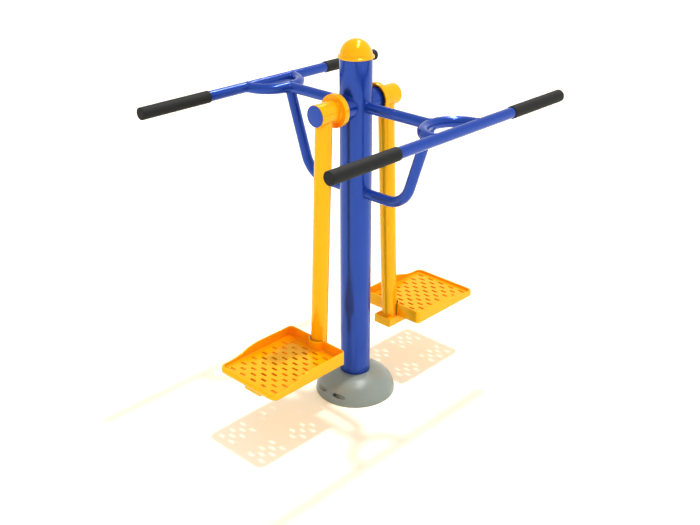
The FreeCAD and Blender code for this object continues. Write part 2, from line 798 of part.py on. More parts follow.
def make_handles(half_turn, side):
    """Arm, bow, handlebar, strut and grips of one side, drawn for the back at +Y."""
    height = "dim.axle_height"

    # The bow is half a circle about a point on the handlebar's line, in two quarters.
    bow_radius = "(dim.bar_offset - dim.bow_apex)"
    path = (
        (f"-{bow_radius}", "dim.bar_offset", bow_radius, 1),
        ("0", "dim.bow_apex", bow_radius, 1),
        (bow_radius, "dim.bar_offset"),
    )
    bow_raw, bow_envelope = bent_tube(f"{side}_bow", "XY_Plane", path, height)
    bar_half = "(dim.bar_half - dim.grip_end_wall)"
    bar_spot = {"along": "X", "x": f"-{bar_half}", "y": "dim.bar_offset", "z": height}
    bar_envelope = cylinder(f"{side}_bar_envelope", PIPE_ENVELOPE, f"2 * {bar_half}", **bar_spot)
    piece(cut(f"{side}_bow_cut", bow_raw, bar_envelope), f"{side}_bow", half_turn)
    piece(tube(f"{side}_bar", PIPE, PIPE_BORE, f"2 * {bar_half}", **bar_spot), f"{side}_handlebar", half_turn)

    post = cylinder(f"{side}_post_envelope", "dim.post_diameter / 2", "dim.post_top")
    arm_spot = {"along": "Y", "y": "0", "z": height}
    arm = tube(f"{side}_arm_tube", PIPE, PIPE_BORE, "dim.bow_apex", **arm_spot)
    piece(cut(f"{side}_arm_cut", arm, post, bow_envelope), f"{side}_arm", half_turn)

    corner_y = "(dim.bow_apex - dim.strut_drop * tan(dim.strut_lean))"
    tangent = "(dim.strut_bend * tan((90 - dim.strut_lean) / 2))"
    strut_path = (
        ("0", "dim.strut_height"),
        (f"{corner_y} - {tangent}", "dim.strut_height", "dim.strut_bend", 1),
        (
            f"{corner_y} + {tangent} * sin(dim.strut_lean)",
            f"dim.strut_height + {tangent} * cos(dim.strut_lean)",
        ),
        ("dim.bow_apex", "dim.axle_height"),
    )
    strut_raw = bent_tube(f"{side}_strut", "YZ_Plane", strut_path)[0]
    arm_envelope = cylinder(f"{side}_arm_envelope", PIPE_ENVELOPE, "dim.bow_apex", **arm_spot)
    strut = cut(f"{side}_strut_cut", strut_raw, post, bow_envelope, arm_envelope)
    piece(strut, f"{side}_strut", half_turn)

    edge, grip = "dim.grip_edge", "dim.grip_diameter / 2"
    start = "(dim.bar_half - dim.grip_length)"
    start_edge = "((dim.grip_diameter - dim.pipe_diameter) / 4)"
    grip_ends = (("right", False), ("left", True))
    for end, other_end in grip_ends:
        corners = (
            (start, PIPE),
            (start, f"{grip} - {start_edge}", start_edge, -1),
            (f"{start} + {start_edge}", grip),
            (f"dim.bar_half - {edge}", grip, edge, -1),
            ("dim.bar_half", f"{grip} - {edge}"),
            ("dim.bar_half", "0"),
            (bar_half, "0"),
            (bar_half, PIPE),
        )
        body = turned(f"{side}_{end}_rubber", corners, height)
        bind(body, Placement__Base__y="dim.bar_offset")
        shape = mirrored_x(body) if other_end != half_turn else body
        carrier = group(f"{side}_{end}_grip_piece", shape)
        piece(carrier, f"{side}_{end}_grip", half_turn)


def make_hub(half_turn, side):
    """Cup, sleeve, cap, seal, outer races, spacer and circlip, drawn for the right at +X."""
    cup = "dim.cup_diameter / 2"
    mouth = cylinder(
        f"{side}_cup_mouth",
        f"{cup} - dim.cup_rim_wall",
        "dim.cup_outer_face - dim.cup_floor - dim.cup_mouth",
        "X",
        x="dim.cup_mouth",
        z="dim.axle_height",
    )
    wall = on_axle(
        f"{side}_cup_wall",
        cup,
        "dim.seal_diameter / 2",
        "dim.cup_mouth",
        "dim.cup_outer_face - dim.cup_mouth",
    )
    groove_radius = "(dim.stop_bush_diameter / 2 + dim.stop_gap)"
    groove_start = "dim.cup_outer_face - dim.cup_floor"
    groove_depth = "dim.housing_half + dim.stop_reach + dim.stop_gap - dim.cup_outer_face + dim.cup_floor"
    sweep = []
    for name, radius in (("outer", "+"), ("inner", "-")):
        sector = cylinder(
            f"{side}_groove_{name}",
            f"dim.stop_circle_radius {radius} {groove_radius}",
            groove_depth,
            "X",
            x=groove_start,
            z="dim.axle_height",
        )
        sweep.append(sector)
    outer, inner = sweep
    bind(outer, Angle="2 * dim.swing_limit")
    # The sector starts at the cylinder's own X axis, which points down here, so it is turned to the top.
    along_x = FreeCAD.Rotation(Vector(0, 1, 0), 90)
    outer.Placement.Rotation = along_x.multiply(FreeCAD.Rotation(UP, 180 - number("dim.swing_limit")))
    ends = []
    for name, sign in (("plus", "+"), ("minus", "-")):
        ends.append(
            cylinder(
                f"{side}_groove_end_{name}",
                groove_radius,
                groove_depth,
                "X",
                x=groove_start,
                y=f"{sign}dim.stop_circle_radius * sin(dim.swing_limit)",
                z="dim.axle_height + dim.stop_circle_radius * cos(dim.swing_limit)",
            )
        )
    arc = cut(f"{side}_groove_arc", outer, inner)
    piece(cut(f"{side}_cup", wall, mouth, arc, *ends), f"{side}_hub_cup", half_turn)

    sleeve = on_axle(
        f"{side}_sleeve_tube",
        "dim.sleeve_diameter / 2",
        "dim.bearing_outer / 2",
        "dim.cup_outer_face",
        "dim.sleeve_end - dim.cup_outer_face",
    )
    groove = cylinder(
        f"{side}_circlip_groove",
        "dim.bearing_outer / 2 + dim.circlip_groove",
        "dim.circlip_width",
        "X",
        x=BEARINGS_END,
        z="dim.axle_height",
    )
    piece(cut(f"{side}_sleeve", sleeve, groove), f"{side}_hub_sleeve", half_turn)
    clip = on_axle(
        f"{side}_clip_ring",
        "dim.bearing_outer / 2 + dim.circlip_groove",
        "dim.circlip_inner / 2",
        BEARINGS_END,
        "dim.circlip_width",
    )
    clip_gap = box(
        f"{side}_clip_gap",
        "dim.circlip_width",
        "dim.circlip_inner / 4",
        "dim.bearing_outer",
        x=BEARINGS_END,
        y="-dim.circlip_inner / 8",
        z="dim.axle_height",
    )
    piece(cut(f"{side}_clip", clip, clip_gap), f"{side}_circlip", half_turn)

    races = []
    for index, start in enumerate(BEARING_STARTS):
        ring = on_axle(
            f"{side}_race_{index}",
            "dim.bearing_outer / 2",
            "dim.race_outer_lip / 2",
            start,
            "dim.bearing_width",
        )
        races.append(cut(f"{side}_race_{index}_grooved", ring, ball_track(f"{side}_track_{index}", start)))
    piece(group(f"{side}_races", *races), f"{side}_outer_races", half_turn)
    spacer = on_axle(
        f"{side}_spacer",
        "dim.bearing_outer / 2",
        "dim.bearing_outer / 2 - dim.outer_spacer_wall",
        "dim.cup_outer_face + dim.bearing_width",
        "dim.bearing_spread",
    )
    piece(spacer, f"{side}_race_spacer", half_turn)
    seal = on_axle(
        f"{side}_seal",
        "dim.seal_diameter / 2",
        "dim.collar_diameter / 2 + dim.seal_gap",
        "dim.cup_outer_face - dim.cup_floor",
        "dim.cup_floor - dim.seal_end_gap",
    )
    piece(seal, f"{side}_axle_seal", half_turn)

    lip = "dim.sleeve_diameter / 2 - dim.hub_cap_lip_gap"
    rim = "dim.hub_cap_thickness / 2"
    plug = "dim.bearing_outer / 2"
    plug_start = "dim.sleeve_end - dim.hub_cap_plug_depth"
    cap = turned(
        f"{side}_cap_body",
        (
            (plug_start, f"{plug} - dim.hub_cap_plug_wall"),
            (plug_start, plug),
            ("dim.sleeve_end", plug),
            ("dim.sleeve_end", lip),
            (f"dim.sleeve_end + {rim}", lip, rim, -1),
            ("dim.sleeve_end + dim.hub_cap_thickness", f"{lip} - {rim}"),
            ("dim.sleeve_end + dim.hub_cap_thickness", "0"),
            ("dim.sleeve_end", "0"),
            ("dim.sleeve_end", f"{plug} - dim.hub_cap_plug_wall"),
        ),
    )
    holder = group(f"{side}_cap_piece", bind(cap, Placement__Base__z="dim.axle_height"))
    piece(holder, f"{side}_hub_cap", half_turn)


def make_leg(half_turn, side):
    """A splayed tube that is cut to the sleeve at its top and stands square on the beam."""
    shapes = []
    outer = "dim.leg_diameter / 2"
    for name, radius in (("outside", outer), ("bore", f"{outer} - dim.leg_wall")):
        drop = "(dim.axle_height - dim.beam_top + dim.leg_diameter)"
        shape = cylinder(
            f"{side}_leg_{name}",
            radius,
            f"{drop} / cos(dim.leg_splay)",
            x="dim.leg_offset",
            z="dim.axle_height",
        )
        shape.Placement.Rotation = FreeCAD.Rotation(Vector(0, 1, 0), 180)
        shapes.append(bind(shape, Placement__Rotation__Angle="180 - dim.leg_splay"))
    leg_tube = cut(f"{side}_leg_tube", *shapes)
    reach = "dim.beam_end"
    span = box(
        f"{side}_leg_span",
        reach,
        reach,
        "dim.axle_height - dim.beam_top",
        y=f"-{reach} / 2",
        z="dim.beam_top",
    )
    sleeve = cylinder(
        f"{side}_sleeve_envelope",
        "dim.sleeve_diameter / 2",
        "dim.beam_end",
        "X",
        z="dim.axle_height",
    )
    leg = cut(f"{side}_leg_cut", common(f"{side}_leg_between", leg_tube, span), sleeve)
    piece(leg, f"{side}_leg", half_turn)


BOLT_ROWS = (
    "dim.slot_first - 2 * dim.slot_pitch_along",
    "dim.slot_first - 2 * (dim.slot_row_pairs - 1) * dim.slot_pitch_along",
)
BOLT_SPOTS = tuple(
    (x, f"{sign}dim.slot_pitch_across / 2") for x in BOLT_ROWS for sign in ("", "-")
)


def make_beam(half_turn, side):
    body = doc.addObject("PartDesign::Body", f"{side}_beam_body")
    low, half = "dim.beam_top - dim.beam_height", "dim.beam_width / 2"
    section = sketch_on(body, f"{side}_beam_section", "YZ_Plane", "dim.beam_start + dim.beam_wall")
    rounded_rectangle(
        section, f"-{half}", half, low, "dim.beam_top", "dim.beam_corner", "dim.beam_corner"
    )
    inside = "dim.beam_corner - dim.beam_wall"
    rounded_rectangle(
        section,
        f"-({half}) + dim.beam_wall",
        f"{half} - dim.beam_wall",
        f"{low} + dim.beam_wall",
        "dim.beam_top - dim.beam_wall",
        inside,
        inside,
    )
    pad(body, f"{side}_beam_tube", section, "dim.beam_end - dim.beam_start - 2 * dim.beam_wall")
    marks = sketch_on(body, f"{side}_beam_marks", "XY_Plane", "dim.beam_top")
    for x, y in BOLT_SPOTS:
        draw_circle(marks, x, y, "dim.pan_bolt_diameter / 2 + dim.pan_bolt_gap")
    pocket(body, f"{side}_beam_holes", marks, "dim.beam_height")
    piece(body, f"{side}_foot_beam", half_turn)

    plates = []
    for name, start in (("inner", "dim.beam_start"), ("outer", "dim.beam_end - dim.beam_wall")):
        plate = doc.addObject("PartDesign::Body", f"{side}_{name}_end")
        outline = sketch_on(plate, f"{side}_{name}_end_outline", "YZ_Plane", start)
        rounded_rectangle(
            outline, f"-{half}", half, low, "dim.beam_top", "dim.beam_corner", "dim.beam_corner"
        )
        pad(plate, f"{side}_{name}_end_plate", outline, "dim.beam_wall")
        plates.append(plate)
    piece(group(f"{side}_beam_ends", *plates), f"{side}_beam_end_plates", half_turn)


def make_crossbar(half_turn, side):
    """A flat bar across the beam that fills the space between the beam and the pan's floor."""
    half_length = "(dim.pan_width / 2 - dim.pan_wall - dim.crossbar_end_gap)"
    bar = box(
        f"{side}_crossbar_plate",
        "dim.crossbar_width",
        f"2 * {half_length}",
        "dim.pan_floor_rise - dim.pan_floor_thickness",
        x="dim.crossbar_middle - dim.crossbar_width / 2",
        y=f"-{half_length}",
        z="dim.beam_top",
    )
    piece(group(f"{side}_crossbar", bar), f"{side}_pan_crossbar", half_turn)


def make_pan_bolts(half_turn, side):
    bolts = []
    low = "dim.beam_top - dim.beam_height"
    for index, (x, y) in enumerate(BOLT_SPOTS):
        shank = cylinder(
            f"{side}_pan_shank_{index}",
            "dim.pan_bolt_diameter / 2",
            "dim.beam_height + dim.pan_bolt_thread",
            x=x,
            y=y,
            z=low,
        )
        head = hexagon(
            f"{side}_pan_head_{index}",
            "dim.pan_bolt_head_width",
            "dim.pan_bolt_head_height",
            "Z",
            x,
            y,
            f"{low} - dim.pan_bolt_head_height",
        )
        bolts.append(fuse(f"{side}_pan_bolt_{index}", shank, head))
    piece(group(f"{side}_pan_bolt_set", *bolts), f"{side}_pan_bolts", half_turn)


def make_pan(half_turn, side):
    """A dished pan: high at the leg, low and round at the outer end, with slots and a recess for the leg."""
    body = doc.addObject("PartDesign::Body", f"{side}_pan_body")
    top = "dim.beam_top + dim.pan_back_height"
    floor_top = "dim.beam_top + dim.pan_floor_rise"
    floor_low = f"{floor_top} - dim.pan_floor_thickness"
    half = "dim.pan_width / 2"

    outline = sketch_on(body, f"{side}_pan_outline", "XY_Plane", "dim.beam_top")
    rounded_rectangle(
        outline,
        "dim.pan_start",
        "dim.pan_end",
        f"-{half}",
        half,
        "dim.pan_inner_corner",
        "dim.pan_outer_corner",
    )
    pad(body, f"{side}_pan_block", outline, "dim.pan_back_height")

    inside = (
        "dim.pan_start + dim.pan_wall",
        "dim.pan_end - dim.pan_end_wall",
        f"-({half}) + dim.pan_wall",
        f"{half} - dim.pan_wall",
        "dim.pan_inner_corner - dim.pan_wall",
        "dim.pan_outer_corner - dim.pan_wall",
    )
    dish = rounded_rectangle(sketch_on(body, f"{side}_pan_dish", "XY_Plane", top), *inside)
    pocket(body, f"{side}_pan_inside", dish, "dim.pan_back_height - dim.pan_floor_rise")
    under = rounded_rectangle(sketch_on(body, f"{side}_pan_under", "XY_Plane", "dim.beam_top"), *inside)
    under_depth = "dim.pan_floor_rise - dim.pan_floor_thickness"
    pocket(body, f"{side}_pan_underside", under, under_depth, upwards=True)

    drop = "((dim.pan_drop_start + dim.pan_drop_end) / 2)"
    lip_z = "dim.beam_top + dim.pan_lip_height"
    middle_z = "dim.beam_top + (dim.pan_back_height + dim.pan_lip_height) / 2"
    fall, run = "(dim.pan_back_height - dim.pan_lip_height)", "(dim.pan_drop_end - dim.pan_drop_start)"
    bend = f"({run}^2 + {fall}^2) / (4 * {fall})"
    beyond = "dim.pan_end + dim.pan_wall"
    nose = "((dim.pan_lip_height - dim.pan_nose_flat) / 2)"
    nose_x = f"dim.pan_end - {nose}"
    side_view = draw(
        sketch_on(body, f"{side}_pan_side_view", "XZ_Plane"),
        (
            ("dim.pan_drop_start", top, bend, -1),
            (drop, middle_z, bend, 1),
            ("dim.pan_drop_end", lip_z),
            (nose_x, lip_z, nose, -1),
            ("dim.pan_end", f"{lip_z} - {nose}"),
            (beyond, f"{lip_z} - {nose}"),
            (beyond, f"{top} + dim.pan_wall"),
            ("dim.pan_drop_start", f"{top} + dim.pan_wall"),
        ),
    )
    draw(
        side_view,
        (
            (nose_x, "dim.beam_top", nose, 1),
            ("dim.pan_end", f"dim.beam_top + {nose}"),
            (beyond, f"dim.beam_top + {nose}"),
            (beyond, "dim.beam_top - dim.pan_wall"),
            (nose_x, "dim.beam_top - dim.pan_wall"),
        ),
    )
    pocket(body, f"{side}_pan_lowered", side_view, "dim.pan_width * 2", both_ways=True)

    ribs = sketch_on(body, f"{side}_pan_rib_plan", "XY_Plane", "dim.beam_top")
    rib_end = f"dim.pan_end - ({nose} + dim.pan_end_wall) / 2"
    for name, sign in (("plus", ""), ("minus", "-")):
        outer = f"{sign}(dim.pan_rib_offset + dim.pan_rib_thickness / 2)"
        inner = f"{sign}(dim.pan_rib_offset - dim.pan_rib_thickness / 2)"
        low_y, high_y = (inner, outer) if name == "plus" else (outer, inner)
        draw(
            ribs,
            (
                ("dim.pan_start + dim.leg_diameter", low_y),
                (rib_end, low_y),
                (rib_end, high_y),
                ("dim.pan_start + dim.leg_diameter", high_y),
            ),
        )
    pad(body, f"{side}_pan_ribs", ribs, f"{under_depth} + dim.pan_floor_thickness / 2")
    room = "(dim.crossbar_width / 2 + dim.crossbar_side_gap)"
    across = "(dim.pan_rib_offset + dim.pan_rib_thickness)"
    passage = draw(
        sketch_on(body, f"{side}_pan_bar_plan", "XY_Plane", "dim.beam_top"),
        (
            (f"dim.crossbar_middle - {room}", f"-{across}"),
            (f"dim.crossbar_middle + {room}", f"-{across}"),
            (f"dim.crossbar_middle + {room}", across),
            (f"dim.crossbar_middle - {room}", across),
        ),
    )
    pocket(body, f"{side}_pan_bar_passage", passage, under_depth, upwards=True)
    bosses = sketch_on(body, f"{side}_pan_boss_plan", "XY_Plane", "dim.beam_top")
    for x, y in BOLT_SPOTS:
        draw_circle(bosses, x, y, "dim.pan_boss_diameter / 2")
    pad(body, f"{side}_pan_bosses", bosses, f"{under_depth} + dim.pan_floor_thickness / 2")

    middle_height = f"({top} + dim.beam_top) / 2"
    leg_x = f"(dim.leg_offset + (dim.axle_height - {middle_height}) * tan(dim.leg_splay))"
    recess = "(dim.leg_diameter / 2 + dim.recess_gap)"
    wall_radius = f"({recess} + dim.pan_wall)"
    chord_x = "(dim.pan_start + dim.pan_wall / 2)"
    chord_y = f"sqrt({wall_radius}^2 - ({chord_x} - {leg_x})^2)"
    boss = draw(
        sketch_on(body, f"{side}_recess_wall_plan", "XY_Plane", "dim.beam_top"),
        ((chord_x, f"-{chord_y}", wall_radius, 1), (chord_x, chord_y)),
    )
    pad(body, f"{side}_recess_wall", boss, "dim.pan_back_height")
    hole = draw_circle(sketch_on(body, f"{side}_recess_plan", "XY_Plane", top), leg_x, "0", recess)
    pocket(body, f"{side}_recess", hole, "dim.pan_back_height")

    holes = sketch_on(body, f"{side}_thread_plan", "XY_Plane", "dim.beam_top")
    for x, y in BOLT_SPOTS:
        draw_circle(holes, x, y, "dim.pan_bolt_diameter / 2 + dim.pan_bolt_gap")
    thread_depth = "dim.pan_bolt_thread + dim.pan_bolt_gap"
    pocket(body, f"{side}_thread_holes", holes, thread_depth, upwards=True)

    rows = (
        ("even", "dim.slot_first", "dim.slots_across"),
        ("odd", "dim.slot_first - dim.slot_pitch_along", "dim.slots_across - 1"),
    )
    for name, x, across in rows:
        y = f"-({across} - 1) / 2 * dim.slot_pitch_across"
        plan = rounded_rectangle(
            sketch_on(body, f"{side}_slot_{name}_plan", "XY_Plane", floor_top),
            f"{x} - dim.slot_width / 2",
            f"{x} + dim.slot_width / 2",
            f"{y} - dim.slot_length / 2",
            f"{y} + dim.slot_length / 2",
            "dim.slot_corner",
            "dim.slot_corner",
        )
        slot = pocket(body, f"{side}_slot_{name}", plan, "dim.pan_floor_thickness")
        pattern = body.newObject("PartDesign::LinearPattern", f"{side}_slots_{name}")
        pattern.Originals = [slot]
        pattern.Direction = (plan, ["V_Axis"])
        pattern.Direction2 = (plan, ["H_Axis"])
        pattern.Reversed2 = True
        pattern.Refine = False
        bind(
            pattern,
            Length=f"({across} - 1) * dim.slot_pitch_across",
            Length2="2 * (dim.slot_row_pairs - 1) * dim.slot_pitch_along",
            Occurrences=across,
            Occurrences2="dim.slot_row_pairs",
        )
        body.Tip = pattern

    piece(body, f"{side}_foot_pan", half_turn)


make_post()
make_post_cap()
make_base_plate()
make_gussets()
make_covers()
make_cover_bolts()
make_housing()
make_axle()
make_fixed_bearing_pieces()
make_stops()
for turned_round, side_name in ((False, "back"), (True, "front")):
    make_handles(turned_round, side_name)
for turned_round, side_name in ((False, "right"), (True, "left")):
    make_hub(turned_round, side_name)
    make_leg(turned_round, side_name)
    make_beam(turned_round, side_name)
    make_crossbar(turned_round, side_name)
    make_pan_bolts(turned_round, side_name)
    make_pan(turned_round, side_name)

doc.recompute()
failed = [item.Label for item in doc.Objects if {"Invalid", "Error"} & set(item.State)]
if failed:
    raise RuntimeError(f"features failed: {failed}")
for node in nodes:
    if node.Shape.isNull() or not node.Shape.isValid() or not node.Shape.Solids:
        raise RuntimeError(f"{node.Label} has no valid solid")

os.makedirs("parts", exist_ok=True)
for node in nodes:
    node.Shape.exportStep(f"parts/{node.Label}.step")
    size = node.Shape.BoundBox
    corners = (size.XMin, size.XMax, size.YMin, size.YMax, size.ZMin, size.ZMax)
    places = " ".join(f"{corner:8.1f}" for corner in corners)
    print(f"{node.Label:24s} {len(node.Shape.Solids):3d} solids {node.Shape.Volume / 1000:8.2f} cm3 {places}")
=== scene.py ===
import json
import math

import bmesh
import bpy
import numpy as np
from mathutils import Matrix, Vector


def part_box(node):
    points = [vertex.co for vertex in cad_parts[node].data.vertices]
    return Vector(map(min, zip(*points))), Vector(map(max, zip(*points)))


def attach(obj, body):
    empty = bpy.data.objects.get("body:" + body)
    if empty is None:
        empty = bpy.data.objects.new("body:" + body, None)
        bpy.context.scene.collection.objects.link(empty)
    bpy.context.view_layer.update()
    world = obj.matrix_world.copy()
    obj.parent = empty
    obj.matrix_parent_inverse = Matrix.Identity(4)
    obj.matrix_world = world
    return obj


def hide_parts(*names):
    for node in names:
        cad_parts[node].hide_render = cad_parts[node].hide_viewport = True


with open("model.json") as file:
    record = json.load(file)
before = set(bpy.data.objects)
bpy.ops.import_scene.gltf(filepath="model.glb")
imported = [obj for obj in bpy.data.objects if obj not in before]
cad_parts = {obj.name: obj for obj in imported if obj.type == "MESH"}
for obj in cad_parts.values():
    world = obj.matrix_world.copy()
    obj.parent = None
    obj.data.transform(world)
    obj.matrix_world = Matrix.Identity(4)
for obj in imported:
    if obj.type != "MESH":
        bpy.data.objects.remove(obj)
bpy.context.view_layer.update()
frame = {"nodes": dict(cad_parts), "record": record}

MM = 0.001
# Sides lie along X and ends along Y. The second of each is the first after half a turn about the post.
SIDES = (("right", 1), ("left", -1))
ENDS = (("back", 1), ("front", -1))


def extent(node, axis):
    """The lowest and the highest place of a node of the frame along X, Y or Z, in mm."""
    return [corner["XYZ".index(axis)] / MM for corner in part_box(node)]


# Places that the frame gives, in millimetres.
AXLE_HEIGHT = frame["record"]["behaviour"]["joints"][0]["pos_m"][2] / MM
POST_TOP = extent("post", "Z")[1]
BEAM_TOP = extent("right_foot_beam", "Z")[1]
CUP_FACE = extent("right_hub_cup", "X")[1]
SLEEVE_END = extent("right_hub_sleeve", "X")[1]

# Sizes of the tubes and of how they stand, in millimetres and degrees.
POST_RADIUS = 57.15
PIPE_RADIUS = 19.05
BAR_OFFSET = 444.1
BOW_RADIUS = 111.1
STRUT_HEIGHT = 830.0
STRUT_LEAN = 18.5
HOUSING_RADIUS = 44.45
SLEEVE_RADIUS = 38.05
LEG_RADIUS = 30.15
LEG_TOP_X = 155.7
LEG_SPLAY = 2.59


# Shapes

def set_up(name, data):
    """A mesh, a lamp or a camera as an object of the scene."""
    thing = bpy.data.objects.new(name, data)
    bpy.context.scene.collection.objects.link(thing)
    return thing


def mesh_piece(name, grids, body, material, replaces=(), polygons=(), half_turn=False, sharp=38):
    """One closed mesh. Each grid of points (rows, columns, 3), in mm, has a face between neighbours, and
    each polygon is one flat face. Points that meet are joined, which closes the seams, and all faces are
    turned outwards. A half turn about the post sets it on the other side. An edge is sharp where its faces
    meet at more degrees than sharp says."""
    points, faces, start = [], [], 0
    for grid in grids:
        rows, columns = grid.shape[:2]
        points.append(grid.reshape(-1, 3))
        corner = start + (np.arange(rows - 1)[:, None] * columns + np.arange(columns - 1)).reshape(-1)
        faces += np.stack([corner, corner + 1, corner + columns + 1, corner + columns], 1).tolist()
        start += rows * columns
    for polygon in polygons:
        points.append(polygon)
        faces.append(list(range(start, start + len(polygon))))
        start += len(polygon)
    places = np.concatenate(points) * MM
    if half_turn:
        places = places * (-1, -1, 1)
    mesh = bpy.data.meshes.new(name)
    mesh.from_pydata(places, [], faces)
    shape = bmesh.new()
    shape.from_mesh(mesh)
    bmesh.ops.remove_doubles(shape, verts=shape.verts, dist=0.01 * MM)
    bmesh.ops.recalc_face_normals(shape, faces=shape.faces)
    shape.to_mesh(mesh)
    shape.free()
    mesh.shade_smooth()
    mesh.set_sharp_from_angle(angle=math.radians(sharp))
    piece = set_up(name, mesh)
    mesh.materials.append(material)
    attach(piece, body)
    if replaces:
        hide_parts(*replaces)
    return piece


def arc(x, y, radius, start, end, steps):
    """Points on a circle about (x, y), from one angle to another, in degrees."""
    angle = np.radians(np.linspace(start, end, steps + 1))
    return np.stack([x + radius * np.cos(angle), y + radius * np.sin(angle)], 1)


def line(start, end, steps):
    """Evenly spaced points from one place to another."""
    share = np.linspace(0, 1, steps + 1)[:, None]
    return np.array(start, float) * (1 - share) + np.array(end, float) * share


def joined(*runs):
    """Runs of points one after the other. The first point of each later run is left out, because the run
    before it ends there."""
    return np.concatenate([runs[0]] + [run[1:] for run in runs[1:]])


def turned(profile, steps=96):
    """A profile of (radius, height) carried round Z: x = radius cos(angle), y = radius sin(angle)."""
    angle = np.linspace(0, 2 * np.pi, steps + 1)
    radius, height = profile[:, 0][:, None], profile[:, 1][:, None]
    return np.stack([radius * np.cos(angle), radius * np.sin(angle), height + 0 * angle], 2)


def along_x(grid, y=0.0, z=AXLE_HEIGHT):
    """A shape that was turned about Z, laid along X: its height becomes x, and its axis lies at y and z."""
    return np.stack([grid[..., 2], grid[..., 0] + y, grid[..., 1] + z], 2)


# Materials

# A Mix node's colour sockets are told by their places, because its number sockets have the same names.
COLOUR_A, COLOUR_B, COLOUR_OUT = 6, 7, 2


def linear(hex_colour):
    """An sRGB hex colour as linear light: c / 12.92 up to 0.04045, and ((c + 0.055) / 1.055) ^ 2.4 above."""
    channel = np.array([int(hex_colour[i:i + 2], 16) for i in (0, 2, 4)]) / 255
    value = np.where(channel <= 0.04045, channel / 12.92, ((channel + 0.055) / 1.055) ** 2.4)
    return (*value.tolist(), 1.0)


def add(tree, kind, inputs=None, **settings):
    """Adds a node with its settings. An input that is a socket is linked, and any other is a value."""
    node = tree.nodes.new(kind)
    for name, value in settings.items():
        setattr(node, name, value)
    for name, value in (inputs or {}).items():
        if isinstance(value, bpy.types.NodeSocket):
            tree.links.new(value, node.inputs[name])
        else:
            node.inputs[name].default_value = value
    return node


def per_mm(size):
    """The scale of a noise or voronoi pattern whose features are that many millimetres wide."""
    return 1 / (size * MM)


def start_material(name):
    """An empty material, its node tree and the place on the object that its patterns are drawn at."""
    material = bpy.data.materials.new(name)
    material.use_nodes = True
    tree = material.node_tree
    tree.nodes.clear()
    place = add(tree, "ShaderNodeTexCoord").outputs["Object"]
    return material, tree, place


def close_material(tree, **inputs):
    """The surface, with the shader's inputs written with underscores for spaces."""
    names = {name.replace("_", " "): value for name, value in inputs.items()}
    shader = add(tree, "ShaderNodeBsdfPrincipled", names)
    add(tree, "ShaderNodeOutputMaterial", {"Surface": shader.outputs["BSDF"]})


def powder_coat(name, full, thin, painted_dish_shade, painted_gap_shade, roughness, flake, shine):
    """Polyester powder coat: a coloured film sprayed on as powder and baked, so it is glossy with a faint
    orange peel. Hollows get painted shade from ambient occlusion: a deeper, more saturated colour in a dish
    or an inner corner, standing in for light bounced between close walls, and a darker one in narrow gaps.
    Flake is the share of metal in the powder."""
    material, tree, place = start_material(name)
    # Film thickness drifts over the length of a tube, which shifts the shade a little.
    drift = add(tree, "ShaderNodeTexNoise", {"Vector": place, "Scale": per_mm(140), "Detail": 2.0})
    film = add(
        tree, "ShaderNodeMix",
        {"Factor": drift.outputs["Fac"], COLOUR_A: linear(full), COLOUR_B: linear(thin)}, data_type="RGBA",
    )
    # Painted shade: walls count up to a distance in mm, and the painted shade fades out from a closed to an
    # open share of the view. The first is the painted shade of dishes and inner corners, the second that of
    # narrow gaps.
    for reach, closed, opened, colour in ((70, 0.45, 0.95, painted_dish_shade), (11, 0.25, 0.62, painted_gap_shade)):
        corner = add(tree, "ShaderNodeAmbientOcclusion", {"Distance": reach * MM}, samples=6)
        free = add(
            tree, "ShaderNodeMapRange",
            {"Value": corner.outputs["AO"], "From Min": closed, "From Max": opened},
        )
        film = add(
            tree, "ShaderNodeMix",
            {"Factor": free.outputs["Result"], COLOUR_A: linear(colour), COLOUR_B: film.outputs[COLOUR_OUT]},
            data_type="RGBA",
        )
    # Orange peel is about 2 mm across on the real film, and 5 mm here so that it shows.
    peel = add(tree, "ShaderNodeTexNoise", {"Vector": place, "Scale": per_mm(5), "Detail": 2.0})
    bump = add(
        tree, "ShaderNodeBump", {"Height": peel.outputs["Fac"], "Strength": 0.5, "Distance": 0.012 * MM},
    )
    # Baking leaves patches a little duller than others.
    gloss = add(
        tree, "ShaderNodeMapRange",
        {"Value": drift.outputs["Fac"], "To Min": roughness * 0.85, "To Max": roughness * 1.2},
    )
    close_material(
        tree, Base_Color=film.outputs[COLOUR_OUT], Metallic=flake, Roughness=gloss.outputs["Result"],
        Specular_IOR_Level=shine, Normal=bump.outputs["Normal"],
    )
    return material


def galvanised(name):
    """Hot-dip galvanised steel: zinc that froze in large flat crystals, grey spangles of unlike shine."""
    material, tree, place = start_material(name)
    crystal = add(tree, "ShaderNodeTexVoronoi", {"Vector": place, "Scale": per_mm(14)})
    tone = add(
        tree, "ShaderNodeMix",
        {"Factor": crystal.outputs["Distance"], COLOUR_A: linear("C2C5C7"), COLOUR_B: linear("A3A8AB")},
        data_type="RGBA",
    )
    shine = add(
        tree, "ShaderNodeMapRange", {"Value": crystal.outputs["Distance"], "To Min": 0.35, "To Max": 0.55},
    )
    close_material(tree, Base_Color=tone.outputs[COLOUR_OUT], Metallic=1.0, Roughness=shine.outputs["Result"])
    return material


def moulded_plastic(name):
    """Injection moulded polypropylene: a satin skin with a fine spark-eroded grain from the mould."""
    material, tree, place = start_material(name)
    weather = add(tree, "ShaderNodeTexNoise", {"Vector": place, "Scale": per_mm(90), "Detail": 3.0})
    tone = add(
        tree, "ShaderNodeMix",
        {"Factor": weather.outputs["Fac"], COLOUR_A: linear("858E86"), COLOUR_B: linear("7B837B")},
        data_type="RGBA",
    )
    grain = add(tree, "ShaderNodeTexNoise", {"Vector": place, "Scale": per_mm(1.6), "Detail": 2.0})
    bump = add(
        tree, "ShaderNodeBump", {"Height": grain.outputs["Fac"], "Strength": 0.4, "Distance": 0.04 * MM},
    )
    close_material(
        tree, Base_Color=tone.outputs[COLOUR_OUT], Roughness=0.33, IOR=1.49, Specular_IOR_Level=0.7,
        Normal=bump.outputs["Normal"],
    )
    return material


